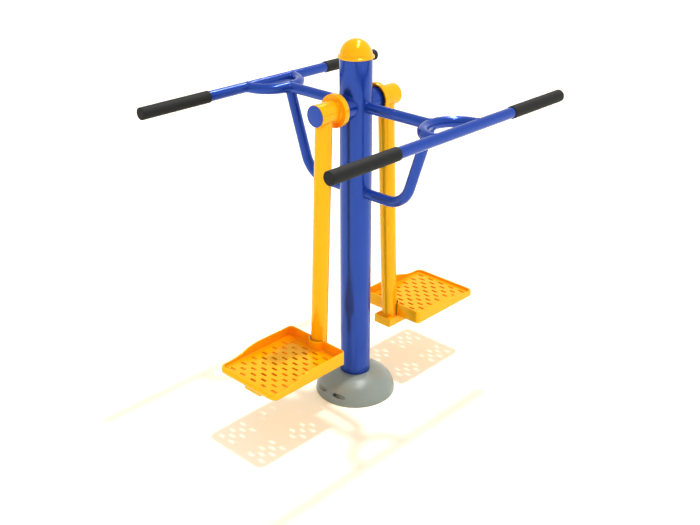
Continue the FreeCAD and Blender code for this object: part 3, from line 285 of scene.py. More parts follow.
def zinc_plate(name):
    """Zinc plated steel: a thin bright layer with a faint haze, as on bought bolts and nuts."""
    material, tree, place = start_material(name)
    haze = add(tree, "ShaderNodeTexNoise", {"Vector": place, "Scale": per_mm(6), "Detail": 3.0})
    shine = add(tree, "ShaderNodeMapRange", {"Value": haze.outputs["Fac"], "To Min": 0.22, "To Max": 0.4})
    close_material(tree, Base_Color=linear("8F918D"), Metallic=1.0, Roughness=shine.outputs["Result"])
    return material


def ground_steel(name):
    """Bearing steel, hardened and ground: fine rings round the axle, some duller than others."""
    material, tree, place = start_material(name)
    rings = add(
        tree, "ShaderNodeTexWave",
        {"Vector": place, "Scale": per_mm(4), "Distortion": 0.4, "Detail": 1.0}, bands_direction="X",
    )
    shine = add(tree, "ShaderNodeMapRange", {"Value": rings.outputs["Fac"], "To Min": 0.2, "To Max": 0.34})
    close_material(tree, Base_Color=linear("BDBFC2"), Metallic=1.0, Roughness=shine.outputs["Result"])
    return material


def moulded_rubber(name, plain, worn, pore, roughness):
    """Moulded rubber: a matt black skin with fine pores, a little greyer where it is rubbed."""
    material, tree, place = start_material(name)
    rubbed = add(tree, "ShaderNodeTexNoise", {"Vector": place, "Scale": per_mm(35), "Detail": 3.0})
    tone = add(
        tree, "ShaderNodeMix",
        {"Factor": rubbed.outputs["Fac"], COLOUR_A: linear(plain), COLOUR_B: linear(worn)}, data_type="RGBA",
    )
    pores = add(tree, "ShaderNodeTexNoise", {"Vector": place, "Scale": per_mm(pore), "Detail": 3.0})
    bump = add(
        tree, "ShaderNodeBump", {"Height": pores.outputs["Fac"], "Strength": 0.6, "Distance": 0.15 * MM},
    )
    close_material(
        tree, Base_Color=tone.outputs[COLOUR_OUT], Roughness=roughness, Specular_IOR_Level=0.3,
        Normal=bump.outputs["Normal"],
    )
    return material


# Besides its own two tones, each coat has two painted shades: a deeper colour for dishes and inner corners,
# and a darker one for narrow gaps.
blue = powder_coat(
    "blue_polyester_powder_coat", full="1E46A7", thin="1A42A1", painted_dish_shade="1A3E9B", painted_gap_shade="182F72",
    roughness=0.17, flake=0.45, shine=0.5,
)
yellow = powder_coat(
    "yellow_polyester_powder_coat", full="FFB80A", thin="FFB308", painted_dish_shade="FF9300", painted_gap_shade="CEC21A",
    roughness=0.17, flake=0.25, shine=0.2,
)
finishes = {
    "blue_powder_coat": blue,
    "yellow_powder_coat": yellow,
    "galvanised_steel": galvanised("hot_dip_galvanised_steel"),
    "grey_cover_plastic": moulded_plastic("grained_grey_polypropylene"),
    "zinc_fastener": zinc_plate("zinc_plated_steel"),
    "bearing_steel": ground_steel("ground_bearing_steel"),
    "bush_rubber": moulded_rubber("moulded_bush_rubber", "1A1A1A", "242424", pore=1.5, roughness=0.6),
    "grip_rubber": moulded_rubber("moulded_grip_rubber", "121312", "181917", pore=1.8, roughness=0.7),
}
slot_of = {row["node"]: row["material_slot"] for row in frame["record"]["subparts"]}
for node, shown in frame["nodes"].items():
    shown.data.materials.clear()
    shown.data.materials.append(finishes[slot_of[node]])


# Broken edges: hub cups, beams, end plates and crossbars lose their sharp edges before they are coated.

BROKEN_EDGES = ("_hub_cup", "_foot_beam", "_beam_end_plates", "_pan_crossbar")
EDGE_BREAK = 1.2

for node, shown in frame["nodes"].items():
    if node.endswith(BROKEN_EDGES):
        shown.modifiers.new("joined", "WELD").merge_threshold = 0.005 * MM
        edge = shown.modifiers.new("broken_edge", "BEVEL")
        edge.width = EDGE_BREAK * MM
        edge.segments = 3
        edge.limit_method = "ANGLE"
        edge.angle_limit = math.radians(40)
        edge.harden_normals = True


# Post cap: a dome on a rim that lies on the end of the post, with its plug inside.

PLUG_RADIUS = 52.85
RIM_RADIUS, RIM_HEIGHT, RIM_FLAT, RIM_FOOT_ROUND, RIM_TOP_ROUND = 63.0, 7.0, 0.4, 0.6, 2.0
DOME_RADIUS, DOME_FILLET, DOME_START = 56.5, 3.9, 4.2
plug_end, rim_top = extent("post_cap", "Z")[0], POST_TOP + RIM_HEIGHT
foot_x, top_x = RIM_RADIUS - RIM_FOOT_ROUND, RIM_RADIUS - RIM_TOP_ROUND
cap_profile = joined(
    line((0, plug_end), (PLUG_RADIUS, plug_end), 2),
    line((PLUG_RADIUS, plug_end), (PLUG_RADIUS, POST_TOP), 3),
    line((PLUG_RADIUS, POST_TOP), (foot_x, POST_TOP), 2),
    arc(foot_x, POST_TOP + RIM_FOOT_ROUND, RIM_FOOT_ROUND, -90, 0, 3),
    line((RIM_RADIUS, POST_TOP + RIM_FOOT_ROUND), (RIM_RADIUS, rim_top - RIM_TOP_ROUND), 2),
    arc(top_x, rim_top - RIM_TOP_ROUND, RIM_TOP_ROUND, 0, 90, 5),
    line((top_x, rim_top), (top_x - RIM_FLAT, rim_top), 1),
    arc(DOME_RADIUS + DOME_FILLET, rim_top + DOME_FILLET, DOME_FILLET, -105, -180, 5),
    arc(0, rim_top, DOME_RADIUS, DOME_START, 90, 40),
)
mesh_piece("post_cap_dome", [turned(cap_profile, 128)], "frame", yellow, ["post_cap"])


# Foot pans: a wall carried round the outline, and a floor of slotted cells.

PAN_INNER, PAN_OUTER, PAN_HALF = 202.2, 556.0, 142.6
PAN_INNER_CORNER, PAN_OUTER_CORNER = 14.0, 24.0
PAN_WALL, PAN_END_WALL = 4.5, 13.5
PAN_TOP, PAN_LIP = 304.0, 276.8
FLOOR_TOP, FLOOR_LOW = 266.0, 256.0
FALL_START, FALL_END = 360.0, 518.0
# The outer end is rounded by this much, above and below.
NOSE = 11.5
RIM_ROUND, INNER_ROUND, DISH_FILLET, FOOT_ROUND = 2.0, 2.0, 3.0, 1.0
RECESS_X, RECESS_RADIUS = 194.9, 35.0
RECESS_OUTER_EDGE, RECESS_INNER_EDGE = 1.5, 3.5
SLOT_HALF_LENGTH, SLOT_HALF_WIDTH, SLOT_CORNER, SLOT_ROUND = 13.5, 4.75, 3.5, 0.6
# The slots lie across the pan in rows, which start at the outer end. Every second row has a slot on the
# middle line and this many to each side of it, and the rows between them are staggered.
FIRST_SLOT, SLOT_ROWS, SIDE_SLOTS = 519.0, 12, 2
SLOT_ACROSS, SLOT_ALONG = 54.0, 25.0
# How far a cell reaches from its slot's centre towards the leg in the last row, and towards the pan's side
# at the end of a row. All others meet halfway.
CELL_LAST_EDGE, CELL_SIDE_EDGE = 5.8, 16.2
RIB_OFFSET, RIB_HALF_WIDTH, RIB_RUNS = 33.0, 3.0, ((262.5, 351.0), (412.0, 543.5))
BOLT_X, BOLT_OFFSET = (269.0, 469.0), 27.0
BOSS_BORE, BOSS_RADIUS = 4.1, 8.0
# The edges of ribs and bosses, and how far they reach into the floor.
RIB_EDGE, ROOTED = 0.8, 0.3


def pan_outline(inset, end_inset, corner_inner, corner_outer, edge):
    """Half of the pan's outline, from the middle of the outer end round to the middle of the leg's recess.
    The edge of the recess is an arc that touches the end wall and the recess: its centre is as far from
    both as its radius."""
    outer_x = PAN_OUTER - end_inset
    inner_x = PAN_INNER + inset
    side = PAN_HALF - inset
    recess = RECESS_RADIUS + inset
    edge_x = inner_x + edge
    edge_y = math.sqrt((recess + edge) ** 2 - (edge_x - RECESS_X) ** 2)
    opening = math.degrees(math.atan2(edge_y, edge_x - RECESS_X))
    return joined(
        line((outer_x, 0), (outer_x, side - corner_outer), 10),
        arc(outer_x - corner_outer, side - corner_outer, corner_outer, 0, 90, 14),
        line((outer_x - corner_outer, side), (inner_x + corner_inner, side), 72),
        arc(inner_x + corner_inner, side - corner_inner, corner_inner, 90, 180, 8),
        line((inner_x, side - corner_inner), (inner_x, edge_y), 6),
        arc(edge_x, edge_y, edge, 180, 180 + opening, 6),
        arc(RECESS_X, 0, recess, opening, 0, 12),
    )


def whole_loop(half):
    """A half outline and its mirror image across y = 0, as one closed loop."""
    return joined(half, half[::-1] * (1, -1))


def pan_top(x):
    """Height of the rim: high at the leg, then two equal arcs that meet halfway down, then the low lip."""
    run, fall = FALL_END - FALL_START, PAN_TOP - PAN_LIP
    bend = (run ** 2 + fall ** 2) / (4 * fall)
    upper = PAN_TOP - bend + np.sqrt(bend ** 2 - np.clip(x - FALL_START, 0, run / 2) ** 2)
    lower = PAN_LIP + bend - np.sqrt(bend ** 2 - np.clip(FALL_END - x, 0, run / 2) ** 2)
    return np.where(x < (FALL_START + FALL_END) / 2, upper, lower)


def pan_wall():
    """The wall's section carried round the outline: up the outer face, over the rim, down the inner face
    and out into the floor. The edges of the outer end are nearly as round as the end is thick, and they
    sharpen round its corners by the smooth step s^2 (3 - 2 s)."""
    outer = whole_loop(pan_outline(0, 0, PAN_INNER_CORNER, PAN_OUTER_CORNER, RECESS_OUTER_EDGE))
    inner = whole_loop(pan_outline(
        PAN_WALL, PAN_END_WALL, PAN_INNER_CORNER - PAN_WALL, PAN_OUTER_CORNER - PAN_WALL, RECESS_INNER_EDGE))
    across = inner - outer
    thick = np.linalg.norm(across, axis=1)
    across /= thick[:, None]
    ahead = np.roll(inner[:-1], -1, 0) - np.roll(inner[:-1], 1, 0)
    ahead = np.concatenate([ahead, ahead[:1]])
    ahead /= np.linalg.norm(ahead, axis=1)[:, None]
    inward = np.stack([-ahead[:, 1], ahead[:, 0]], 1)
    share = np.clip(1 - (PAN_OUTER - outer[:, 0]) / PAN_OUTER_CORNER, 0, 1)
    share = share * share * (3 - 2 * share)
    rim = RIM_ROUND + (NOSE - RIM_ROUND) * share
    foot = FOOT_ROUND + (NOSE - FOOT_ROUND) * share
    top = pan_top(outer[:, 0])
    quarter = np.radians(np.linspace(0, 90, 7))[:, None]
    rising, level = np.sin(quarter), 1 - np.cos(quarter)
    one = np.ones((1, len(thick)))
    depth = np.concatenate([
        thick * one, thick * one, (thick - FOOT_ROUND) * one,
        foot * (1 - rising), rim * level, thick - INNER_ROUND * (1 - rising), thick + DISH_FILLET * level,
    ])
    height = np.concatenate([
        FLOOR_LOW * one, (BEAM_TOP + FOOT_ROUND) * one, BEAM_TOP * one,
        BEAM_TOP + foot * level, top - rim * (1 - rising), top - INNER_ROUND * level,
        FLOOR_TOP + DISH_FILLET * (1 - rising) + 0 * thick,
    ])
    beyond = np.clip(depth - thick, 0, None)
    plan = outer + np.minimum(depth, thick)[..., None] * across + beyond[..., None] * inward
    return np.concatenate([plan, height[..., None]], 2)


def slot_cells():
    """One ring of faces round each slot, from its cell's border over the rounded edge and down through the
    floor. Staggered cells share their borders, which have a point at every eighth of a long side and at
    every quarter of a short one."""
    # A quarter of the slot's edge, with its outward directions and the border points that go with it.
    bend = np.radians([0, 0, 30, 60, 90, 90, 90])
    straight_x, straight_y = SLOT_HALF_WIDTH - SLOT_CORNER, SLOT_HALF_LENGTH - SLOT_CORNER
    x = straight_x + SLOT_CORNER * np.sin(bend)
    y = straight_y + SLOT_CORNER * np.cos(bend)
    x[0] = 0
    y[4:] = straight_y, straight_y / 2, 0
    border_x = SLOT_ALONG / 4 * np.array([0, 1, 2, 2, 2, 2, 2])
    border_y = SLOT_ACROSS / 8 * np.array([4, 4, 4, 3, 2, 1, 0])
    quarter = np.stack([
        np.stack([x, y], 1), np.stack([np.sin(bend), np.cos(bend)], 1), np.stack([border_x, border_y], 1),
    ])
    half = np.concatenate([quarter, quarter[:, ::-1][:, 1:] * (1, -1)], 1)
    edge, normal, border = np.concatenate([half, half[:, ::-1][:, 1:] * (-1, 1)], 1)
    along = FIRST_SLOT - SLOT_ALONG * np.arange(SLOT_ROWS)
    across = SLOT_ACROSS * np.arange(-SIDE_SLOTS, SIDE_SLOTS + 1)
    centres = np.concatenate([
        np.stack(np.meshgrid(along[0::2], across), -1).reshape(-1, 2),
        np.stack(np.meshgrid(along[1::2], (across + SLOT_ACROSS / 2)[:-1]), -1).reshape(-1, 2),
    ])[:, None]
    # The last row's cells are cut short towards the leg, and the outermost ones towards the pan's sides.
    borders = border + 0 * centres
    last = (centres[..., 0] < along[-2:].mean()) & (borders[..., 0] < 0)
    borders[..., 0] = np.where(last, borders[..., 0] * CELL_LAST_EDGE / (SLOT_ALONG / 2), borders[..., 0])
    quarter_cell = SLOT_ACROSS / 4
    squeeze = (CELL_SIDE_EDGE - quarter_cell) / quarter_cell
    outermost = np.abs(centres[..., 1]) > (SIDE_SLOTS - 0.25) * SLOT_ACROSS
    outwards = borders[..., 1] * np.sign(centres[..., 1])
    squeezed = np.sign(centres[..., 1]) * (quarter_cell + (outwards - quarter_cell) * squeeze)
    borders[..., 1] = np.where(outermost & (outwards > quarter_cell), squeezed, borders[..., 1])
    rings = [(borders + centres, FLOOR_TOP), (edge + 1.5 * SLOT_ROUND * normal + centres, FLOOR_TOP)]
    for angle in np.radians([0, 30, 60, 90]):
        out, down = SLOT_ROUND * (1 - math.sin(angle)), SLOT_ROUND * (1 - math.cos(angle))
        rings.append((edge + out * normal + centres, FLOOR_TOP - down))
    rings += [(edge + centres, FLOOR_LOW), (borders + centres, FLOOR_LOW)]
    cells = np.stack([np.concatenate([plan, np.full(plan.shape[:2] + (1,), z)], 2) for plan, z in rings], 1)
    return list(cells)


def floor_margin(loop, height):
    """The flat floor between the cells and the wall, as one face on each side of y = 0. Its inner border
    goes along the ends and the sides of the cells, through all their points."""
    # The border steps out from the staggered rows to the full ones, and runs along each row's cells.
    eighth, quarter = SLOT_ACROSS / 8, SLOT_ALONG / 4
    middle = SLOT_ACROSS * SIDE_SLOTS
    wide = np.array([0, 1, 2]) * eighth + middle
    squeezed = middle + SLOT_ACROSS / 4 + np.array([0.5, 1]) * (CELL_SIDE_EDGE - SLOT_ACROSS / 4)
    rise = np.concatenate([wide, squeezed])
    run = np.array([-2, -1, 0, 1, 2]) * quarter
    parts = []
    for row in reversed(range(SLOT_ROWS)):
        x = FIRST_SLOT - SLOT_ALONG * row
        xs = np.where(run < 0, run * CELL_LAST_EDGE / (2 * quarter), run) if row == SLOT_ROWS - 1 else run
        if row % 2:
            parts.append(np.stack([x + xs, np.full(5, rise[0])], 1))
        else:
            parts.append(np.stack([np.full(5, x + run[0]), rise], 1))
            parts.append(np.stack([x + xs, np.full(5, rise[-1])], 1))
            parts.append(np.stack([np.full(5, x + run[-1]), rise[::-1]], 1))
    first = parts[0][0, 0]
    last = parts[-1][0, 0]
    steps = np.arange(0, middle + eighth / 2, eighth)
    inner_end = np.stack([np.full(len(steps), first), steps], 1)
    outer_end = np.stack([np.full(len(steps), last), steps[::-1]], 1)
    outline = np.concatenate([inner_end] + parts + [outer_end])
    half = loop[: len(loop) // 2 + 1]
    ring = np.concatenate([half, outline])
    keep = np.linalg.norm(ring - np.roll(ring, 1, 0), axis=1) > 0.01
    ring = ring[keep]
    plane = np.concatenate([ring, np.full((len(ring), 1), height)], 1)
    return [plane, plane * (1, -1, 1)]


def bar_shape(x0, x1, y0, y1, z0, z1, edge):
    """A straight bar with rounded long edges: a rounded rectangle carried along X, closed at its ends."""
    section = joined(
        arc(y1 - edge, z1 - edge, edge, 0, 90, 4), arc(y0 + edge, z1 - edge, edge, 90, 180, 4),
        arc(y0 + edge, z0 + edge, edge, 180, 270, 4), arc(y1 - edge, z0 + edge, edge, 270, 360, 4),
        line((y1, z0 + edge), (y1, z1 - edge), 1),
    )
    centre = section[:-1].mean(0)
    rows = [(x0, 0.0), (x0, 1.0), (x1, 1.0), (x1, 0.0)]
    rings = [(np.full((len(section), 1), x), centre + (section - centre) * size) for x, size in rows]
    return np.stack([np.concatenate(ring, 1) for ring in rings])


def pan_underside():
    """The ribs under the floor, open where the crossbar passes, and the bosses for the bolts."""
    root = FLOOR_LOW + ROOTED
    shapes = []
    for y in (-RIB_OFFSET, RIB_OFFSET):
        for start, end in RIB_RUNS:
            y0, y1 = y - RIB_HALF_WIDTH, y + RIB_HALF_WIDTH
            shapes.append(bar_shape(start, end, y0, y1, BEAM_TOP, root, RIB_EDGE))
    face = BOSS_RADIUS - RIB_EDGE
    boss = joined(
        line((BOSS_BORE, root), (BOSS_BORE, BEAM_TOP), 2), line((BOSS_BORE, BEAM_TOP), (face, BEAM_TOP), 1),
        arc(face, BEAM_TOP + RIB_EDGE, RIB_EDGE, -90, 0, 3),
        line((BOSS_RADIUS, BEAM_TOP + RIB_EDGE), (BOSS_RADIUS, root), 1),
        line((BOSS_RADIUS, root), (BOSS_BORE, root), 1),
    )
    for x in BOLT_X:
        for y in (-BOLT_OFFSET, BOLT_OFFSET):
            shapes.append(turned(boss, 24) + (x, y, 0))
    return shapes


wall = pan_wall()
pan_grids = [wall] + slot_cells() + pan_underside()
pan_faces = floor_margin(wall[-1, :, :2], FLOOR_TOP) + floor_margin(wall[0, :, :2], FLOOR_LOW)
for side, x_sign in SIDES:
    mesh_piece(
        f"{side}_slotted_pan", pan_grids, f"{side}_swing", yellow, [f"{side}_foot_pan"],
        polygons=pan_faces, half_turn=x_sign < 0,
    )


# Hubs: a slightly domed cap on the end, and the smooth fillet of the weld between cup and sleeve.

HUB_PLUG_RADIUS = 32.6
LIP_FOOT, LIP_RADIUS, LIP_X, LIP_ROUND = 36.2, 35.7, 198.1, 1.2
ARCH_RADIUS, ARCH_START = 292.0, 82.95
HUB_FILLET, SUNK = 4.5, 0.4
hub_plug_start, hub_top = extent("right_hub_cap", "X")
cap_dome = joined(
    line((0, hub_plug_start), (HUB_PLUG_RADIUS, hub_plug_start), 3),
    line((HUB_PLUG_RADIUS, hub_plug_start), (HUB_PLUG_RADIUS, SLEEVE_END), 2),
    line((HUB_PLUG_RADIUS, SLEEVE_END), (LIP_FOOT, SLEEVE_END), 1),
    arc(LIP_RADIUS, LIP_X, LIP_ROUND, -60, 78, 8),
    arc(0, hub_top - ARCH_RADIUS, ARCH_RADIUS, ARCH_START, 90, 12),
)
fillet_low, fillet_high = SLEEVE_RADIUS - SUNK, SLEEVE_RADIUS + HUB_FILLET
fillet_start, fillet_end = CUP_FACE - SUNK, CUP_FACE + HUB_FILLET
fillet = joined(
    line((fillet_low, fillet_start), (fillet_high, fillet_start), 1),
    line((fillet_high, fillet_start), (fillet_high, CUP_FACE), 1),
    arc(fillet_high, fillet_end, HUB_FILLET, 270, 180, 8),
    line((SLEEVE_RADIUS, fillet_end), (fillet_low, fillet_end), 1),
    line((fillet_low, fillet_end), (fillet_low, fillet_start), 1),
)
for side, x_sign in SIDES:
    mesh_piece(
        f"{side}_domed_hub_cap", [along_x(turned(cap_dome))], f"{side}_swing", blue,
        [f"{side}_hub_cap"], half_turn=x_sign < 0, sharp=50,
    )
    mesh_piece(
        f"{side}_hub_fillet", [along_x(turned(fillet))], f"{side}_swing", yellow,
        half_turn=x_sign < 0,
    )


# Grips: rubber sleeves with a closed and rounded outer end, and a small lip at the open end.

GRIP_RADIUS, GRIP_BORE, GRIP_EDGE, GRIP_LIP = 22.0, PIPE_RADIUS + 0.05, 3.0, 1.2
bar_end = extent("back_handlebar", "X")[1]
grip_start, grip_end = extent("back_right_grip", "X")
lip_radius, edge_radius = GRIP_RADIUS - GRIP_LIP, GRIP_RADIUS - GRIP_EDGE
grip_profile = joined(
    line((0, bar_end), (GRIP_BORE, bar_end), 2),
    line((GRIP_BORE, bar_end), (GRIP_BORE, grip_start), 2),
    line((GRIP_BORE, grip_start), (lip_radius, grip_start), 1),
    arc(lip_radius, grip_start + GRIP_LIP, GRIP_LIP, -90, 0, 4),
    line((GRIP_RADIUS, grip_start + GRIP_LIP), (GRIP_RADIUS, grip_end - GRIP_EDGE), 24),
    arc(edge_radius, grip_end - GRIP_EDGE, GRIP_EDGE, 0, 90, 6),
    line((edge_radius, grip_end), (0, grip_end), 4),
)
for end, y_sign in ENDS:
    for side, x_sign in SIDES:
        # The half turn to the left changes the sign of y as well.
        shape = along_x(turned(grip_profile, 64), BAR_OFFSET * y_sign * x_sign)
        mesh_piece(
            f"{end}_{side}_grip_sleeve", [shape], "frame", finishes["grip_rubber"],
            [f"{end}_{side}_grip"], half_turn=x_sign < 0,
        )


# Weld beads where the tubes meet.

WELD_RADIUS, LEG_WELD_RADIUS = 2.4, 2.8
WELD_DROP, WELD_RIPPLE = 5.0, 0.05
# The share of a tube's radius over which a weld goes round a corner where two tubes of one size cross.
WELD_CORNER = 0.05
# Each function below gives the line where two surfaces cross, and the sum of their outward directions
# there, for one turn round the joining tube.
turn = np.linspace(0, 2 * np.pi, 361)[:-1]


def xyz(x, y, z):
    """Points in space from their three coordinates."""
    return np.stack([x, y, z], 1)


def weld_bead(name, curve, outward, body, slot, material, size=WELD_RADIUS, half_turn=False):
    """A bead of round section carried along a closed curve. Its radius grows and shrinks a little with
    every drop of the weld, and its centre lies on the curve, so only the outer half shows."""
    tangent = np.roll(curve, -1, 0) - np.roll(curve, 1, 0)
    step = np.linalg.norm(tangent, axis=1) / 2
    tangent /= np.linalg.norm(tangent, axis=1)[:, None]
    normal = outward - (outward * tangent).sum(1)[:, None] * tangent
    normal /= np.linalg.norm(normal, axis=1)[:, None]
    across = np.cross(tangent, normal)
    way = np.cumsum(step)
    drops = round(way[-1] / WELD_DROP)
    radius = size * (1 + WELD_RIPPLE * np.cos(2 * np.pi * drops * way / way[-1]))
    around = np.linspace(0, 2 * np.pi, 13)
    ring = (np.cos(around)[:, None, None] * normal + np.sin(around)[:, None, None] * across) * radius[:, None]
    grid = curve + ring
    grid = np.concatenate([grid, grid[:, :1]], 1)
    return mesh_piece(name, [grid], body, material, half_turn=half_turn, sharp=180)


def tube_on_post(radius, height):
    """A tube along Y on the post, for one turn t: x = radius cos t, y = sqrt(post radius^2 - x^2) and
    z = height + radius sin t."""
    x, z = radius * np.cos(turn), radius * np.sin(turn)
    y = np.sqrt(POST_RADIUS ** 2 - x ** 2)
    return xyz(x, y, height + z), xyz(np.cos(turn) + x / POST_RADIUS, y / POST_RADIUS, np.sin(turn))


def housing_on_post():
    """The axle housing on the post: a tube on the post with X and Y exchanged."""
    return [points[:, [1, 0, 2]] * (1, -1, 1) for points in tube_on_post(HOUSING_RADIUS, AXLE_HEIGHT)]


def bow_on_bar():
    """The end of the bow on the bar, which are equally thick: the sine of the way along the bow is
    r |cos t| / (R + r cos t). Near the top and the bottom |cos t| is rounded off, as the weld is there."""
    side = np.cos(turn)
    reach = BOW_RADIUS + PIPE_RADIUS * side
    way = np.arcsin(PIPE_RADIUS * np.sqrt(side ** 2 + WELD_CORNER ** 2) / reach)
    z = np.sin(turn)
    y = -reach * np.sin(way)
    curve = xyz(reach * np.cos(way), BAR_OFFSET + y, AXLE_HEIGHT + PIPE_RADIUS * z)
    return curve, xyz(side * np.cos(way), y / PIPE_RADIUS - side * np.sin(way), 2 * z)


def arm_on_bow():
    """The arm on the bow's outside: y = bow centre - sqrt((R + |x|)^2 - x^2), and |x| is rounded off too."""
    x, z = PIPE_RADIUS * np.cos(turn), np.sin(turn)
    reach = BOW_RADIUS + np.sqrt(x ** 2 + (WELD_CORNER * PIPE_RADIUS) ** 2)
    y = -np.sqrt(reach ** 2 - x ** 2)
    across = (reach - BOW_RADIUS) / PIPE_RADIUS / reach
    curve = xyz(x, BAR_OFFSET + y, AXLE_HEIGHT + PIPE_RADIUS * z)
    return curve, xyz(np.cos(turn) + across * x, across * y, 2 * z)


def strut_on_arm():
    """The strut on arm and bow: along each line of the strut's surface, the first place that touches
    either, found by halving. The distance to the arm's axis is sqrt(x^2 + z^2), and the one to the bow's
    axis is sqrt((rho - R)^2 + z^2), where rho = sqrt(x^2 + y^2)."""
    lean = math.radians(STRUT_LEAN)
    along = np.array([0, math.sin(lean), math.cos(lean)])
    skin = xyz(np.cos(turn), -np.sin(turn) * math.cos(lean), np.sin(turn) * math.sin(lean))
    top = np.array([0, BAR_OFFSET - BOW_RADIUS, AXLE_HEIGHT])
    # The first touch lies between this far below the crossing and the crossing itself.
    near, far = np.full(len(turn), -90.0), np.full(len(turn), 0.0)
    for _ in range(30):
        middle = (near + far) / 2
        x, y, z = (top + skin * PIPE_RADIUS + along * middle[:, None] - (0, BAR_OFFSET, AXLE_HEIGHT)).T
        rho = np.sqrt(x ** 2 + y ** 2)
        to_arm = np.where(y < -BOW_RADIUS, np.sqrt(x ** 2 + z ** 2), np.inf)
        to_bow = np.sqrt((rho - BOW_RADIUS) ** 2 + z ** 2)
        outside = np.minimum(to_arm, to_bow) > PIPE_RADIUS
        near, far = np.where(outside, middle, near), np.where(outside, far, middle)
    flat = np.where(to_arm < to_bow, (x, 0 * y), (x * (1 - BOW_RADIUS / rho), y * (1 - BOW_RADIUS / rho)))
    return top + skin * PIPE_RADIUS + along * near[:, None], skin + xyz(*flat, z) / PIPE_RADIUS


def leg_line(height_at):
    """A line round the leg: its points lie at height_at(y), on a tube that leans towards +X as it falls."""
    splay = math.radians(LEG_SPLAY)
    skin = xyz(np.cos(turn) * math.cos(splay), np.sin(turn), np.cos(turn) * math.sin(splay))
    start = skin * LEG_RADIUS + (LEG_TOP_X, 0, AXLE_HEIGHT)
    height = height_at(start[:, 1])
    x = start[:, 0] + (start[:, 2] - height) * math.tan(splay)
    return xyz(x, start[:, 1], height), skin


def leg_on_sleeve():
    """The leg on the hub's sleeve: z = axle height - sqrt(sleeve radius^2 - y^2)."""
    curve, skin = leg_line(lambda y: AXLE_HEIGHT - np.sqrt(SLEEVE_RADIUS ** 2 - y ** 2))
    sleeve = (curve - (0, 0, AXLE_HEIGHT)) / SLEEVE_RADIUS * (0, 1, 1)
    return curve, skin + sleeve


def leg_on_beam():
    """The leg on the flat top of the beam."""
    curve, skin = leg_line(lambda y: BEAM_TOP + 0 * y)
    return curve, skin + (0, 0, 1)


def mirrored(curve, outward):
    """The same weld on the other side of X = 0."""
    return curve * (-1, 1, 1), outward * (-1, 1, 1)


frame_welds = {
    "arm": tube_on_post(PIPE_RADIUS, AXLE_HEIGHT),
    "strut": tube_on_post(PIPE_RADIUS, STRUT_HEIGHT),
    "bow_right": bow_on_bar(),
    "bow_left": mirrored(*bow_on_bar()),
    "bow_arm": arm_on_bow(),
    "strut_top": strut_on_arm(),
}
for end, y_sign in ENDS:
    for name, weld in frame_welds.items():
        weld_bead(f"{end}_{name}_weld", *weld, "frame", "blue_powder_coat", blue, half_turn=y_sign < 0)
for side, x_sign in SIDES:
    weld_bead(
        f"{side}_housing_weld", *housing_on_post(), "frame", "blue_powder_coat", blue, half_turn=x_sign < 0,
    )
    for name, weld in (("leg_top", leg_on_sleeve()), ("leg_foot", leg_on_beam())):
        weld_bead(
            f"{side}_{name}_weld", *weld, f"{side}_swing", "yellow_powder_coat", yellow, size=LEG_WELD_RADIUS,
            half_turn=x_sign < 0,
        )


# Floor, light and camera

FLOOR_REACH = 30000
# Where the lamps and the camera stand and what they look at.
KEY_PLACE, KEY_TARGET = (1265, -320, 5723), (0, 0, 0)
STRIP_PLACE, STRIP_TURN = (1460, 210, 5000), 41
STRIP_LENGTH, STRIP_WIDTH = 5200, 85
CAMERA_PLACE, CAMERA_TARGET = (-2383.1, -2250.5, 2102.6), (-29.52, 0, 551.12)
FILM_WIDTH, FOCAL_LENGTH = 36, 50.27


def sweep_paper(name):
    """Matt white sweep paper. A warm glow that only the camera sees lifts it past white, so that shadows stay
    pale. Its warm tone is painted bounce light from the yellow pans, and it shows only in the shadows."""
    material, tree, place = start_material(name)
    tooth = add(tree, "ShaderNodeTexNoise", {"Vector": place, "Scale": per_mm(3), "Detail": 2.0})
    bump = add(
        tree, "ShaderNodeBump", {"Height": tooth.outputs["Fac"], "Strength": 0.1, "Distance": 0.05 * MM},
    )
    paper = add(tree, "ShaderNodeBsdfDiffuse", {"Color": linear("F2F2E9"), "Normal": bump.outputs["Normal"]})
    seen = add(tree, "ShaderNodeLightPath").outputs["Is Camera Ray"]
    # Painted bounce light: a warm glow that shows only where the floor lies in shadow.
    glow = add(tree, "ShaderNodeEmission", {"Color": linear("FFC628"), "Strength": 0.23})
    both = add(tree, "ShaderNodeAddShader", {0: paper.outputs[0], 1: glow.outputs[0]})
    surface = add(tree, "ShaderNodeMixShader", {0: seen, 1: paper.outputs[0], 2: both.outputs[0]})
    add(tree, "ShaderNodeOutputMaterial", {"Surface": surface.outputs[0]})
    return material


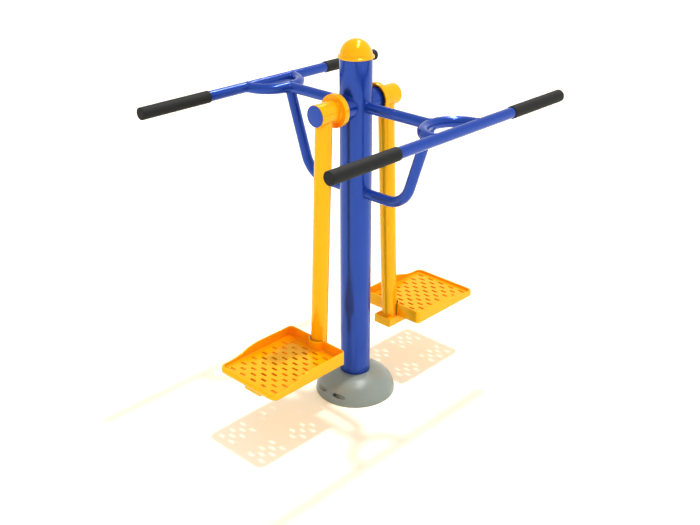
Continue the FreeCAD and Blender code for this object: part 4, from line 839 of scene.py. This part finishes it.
def white_studio(name):
    """The room round the floor. The camera sees it plain white. Its light has the tones given here, and
    gloss also shows the darker ceiling."""
    world = bpy.data.worlds.new(name)
    world.use_nodes = True
    tree = world.node_tree
    tree.nodes.clear()
    ray = add(tree, "ShaderNodeLightPath")
    way = add(tree, "ShaderNodeTexCoord").outputs["Object"]
    height = add(tree, "ShaderNodeSeparateXYZ", {"Vector": way}).outputs["Z"]
    # How bright the room is from its walls up to its ceiling, where gloss mirrors it.
    ceiling = add(
        tree, "ShaderNodeMapRange",
        {"Value": height, "From Min": 0.05, "From Max": 0.55, "To Min": 1.05, "To Max": 0.7},
    )
    plain = add(
        tree, "ShaderNodeMix",
        {"Factor": ray.outputs["Is Glossy Ray"], "A": 0.93, "B": ceiling.outputs["Result"]},
    )
    # The wall towards +X and -Y is brighter, and the opposite one darker.
    facing = add(tree, "ShaderNodeVectorMath", {0: way, 1: (0.7, -0.7, 0)}, operation="DOT_PRODUCT")
    side = add(
        tree, "ShaderNodeMapRange",
        {"Value": facing.outputs["Value"], "From Min": -1.0, "From Max": 1.0, "To Min": 0.82, "To Max": 1.18},
    )
    lit = add(
        tree, "ShaderNodeMath",
        {0: plain.outputs["Result"], 1: side.outputs["Result"]}, operation="MULTIPLY",
    )
    strength = add(
        tree, "ShaderNodeMix", {"Factor": ray.outputs["Is Camera Ray"], "A": lit.outputs["Value"], "B": 1.0},
    )
    white = add(
        tree, "ShaderNodeBackground", {"Color": linear("FFFFFF"), "Strength": strength.outputs["Result"]},
    )
    add(tree, "ShaderNodeOutputWorld", {"Surface": white.outputs["Background"]})
    return world


def aim(thing, place, target):
    """Puts a lamp or camera at a place, turned to look at a target. Both are in mm."""
    place, target = np.array(place, float) * MM, np.array(target, float) * MM
    back = (place - target) / np.linalg.norm(place - target)
    right = np.cross((0, 0, 1), back)
    right /= np.linalg.norm(right)
    matrix = np.eye(4)
    matrix[:3, 0], matrix[:3, 1], matrix[:3, 2], matrix[:3, 3] = right, np.cross(back, right), back, place
    thing.matrix_world = matrix.T.tolist()


floor_mesh = bpy.data.meshes.new("studio_floor")
corners = np.array([[-1, -1, 0], [1, -1, 0], [1, 1, 0], [-1, 1, 0]]) * FLOOR_REACH * MM
floor_mesh.from_pydata(corners.tolist(), [], [(0, 1, 2, 3)])
floor_mesh.materials.append(sweep_paper("white_sweep_paper"))
floor = set_up("studio_floor", floor_mesh)
bpy.context.scene.world = white_studio("white_studio")

# A high sun gives the soft-edged shadows, and glossy pieces don't mirror it.
key = bpy.data.lights.new("key_lamp", "SUN")
key.energy = 2.0
key.angle = math.radians(3)
key_lamp = set_up("key_lamp", key)
key_lamp.visible_glossy = False
aim(key_lamp, KEY_PLACE, KEY_TARGET)

# A long strip under the ceiling gives the thin highlights, and lights nothing else.
strip = bpy.data.lights.new("strip_lamp", "AREA")
strip.shape = "RECTANGLE"
strip.size, strip.size_y = STRIP_LENGTH * MM, STRIP_WIDTH * MM
strip.energy = 240
strip_lamp = set_up("strip_lamp", strip)
strip_lamp.location = [value * MM for value in STRIP_PLACE]
strip_lamp.rotation_euler = (0, 0, math.radians(STRIP_TURN))
strip_lamp.visible_diffuse = False
strip_lamp.visible_camera = False

lens = bpy.data.cameras.new("photo_camera")
lens.sensor_width = FILM_WIDTH
lens.lens = FOCAL_LENGTH
lens.clip_end = 100
photo_camera = set_up("photo_camera", lens)
aim(photo_camera, CAMERA_PLACE, CAMERA_TARGET)
bpy.context.scene.camera = photo_camera
bpy.context.scene.view_settings.view_transform = "Standard"
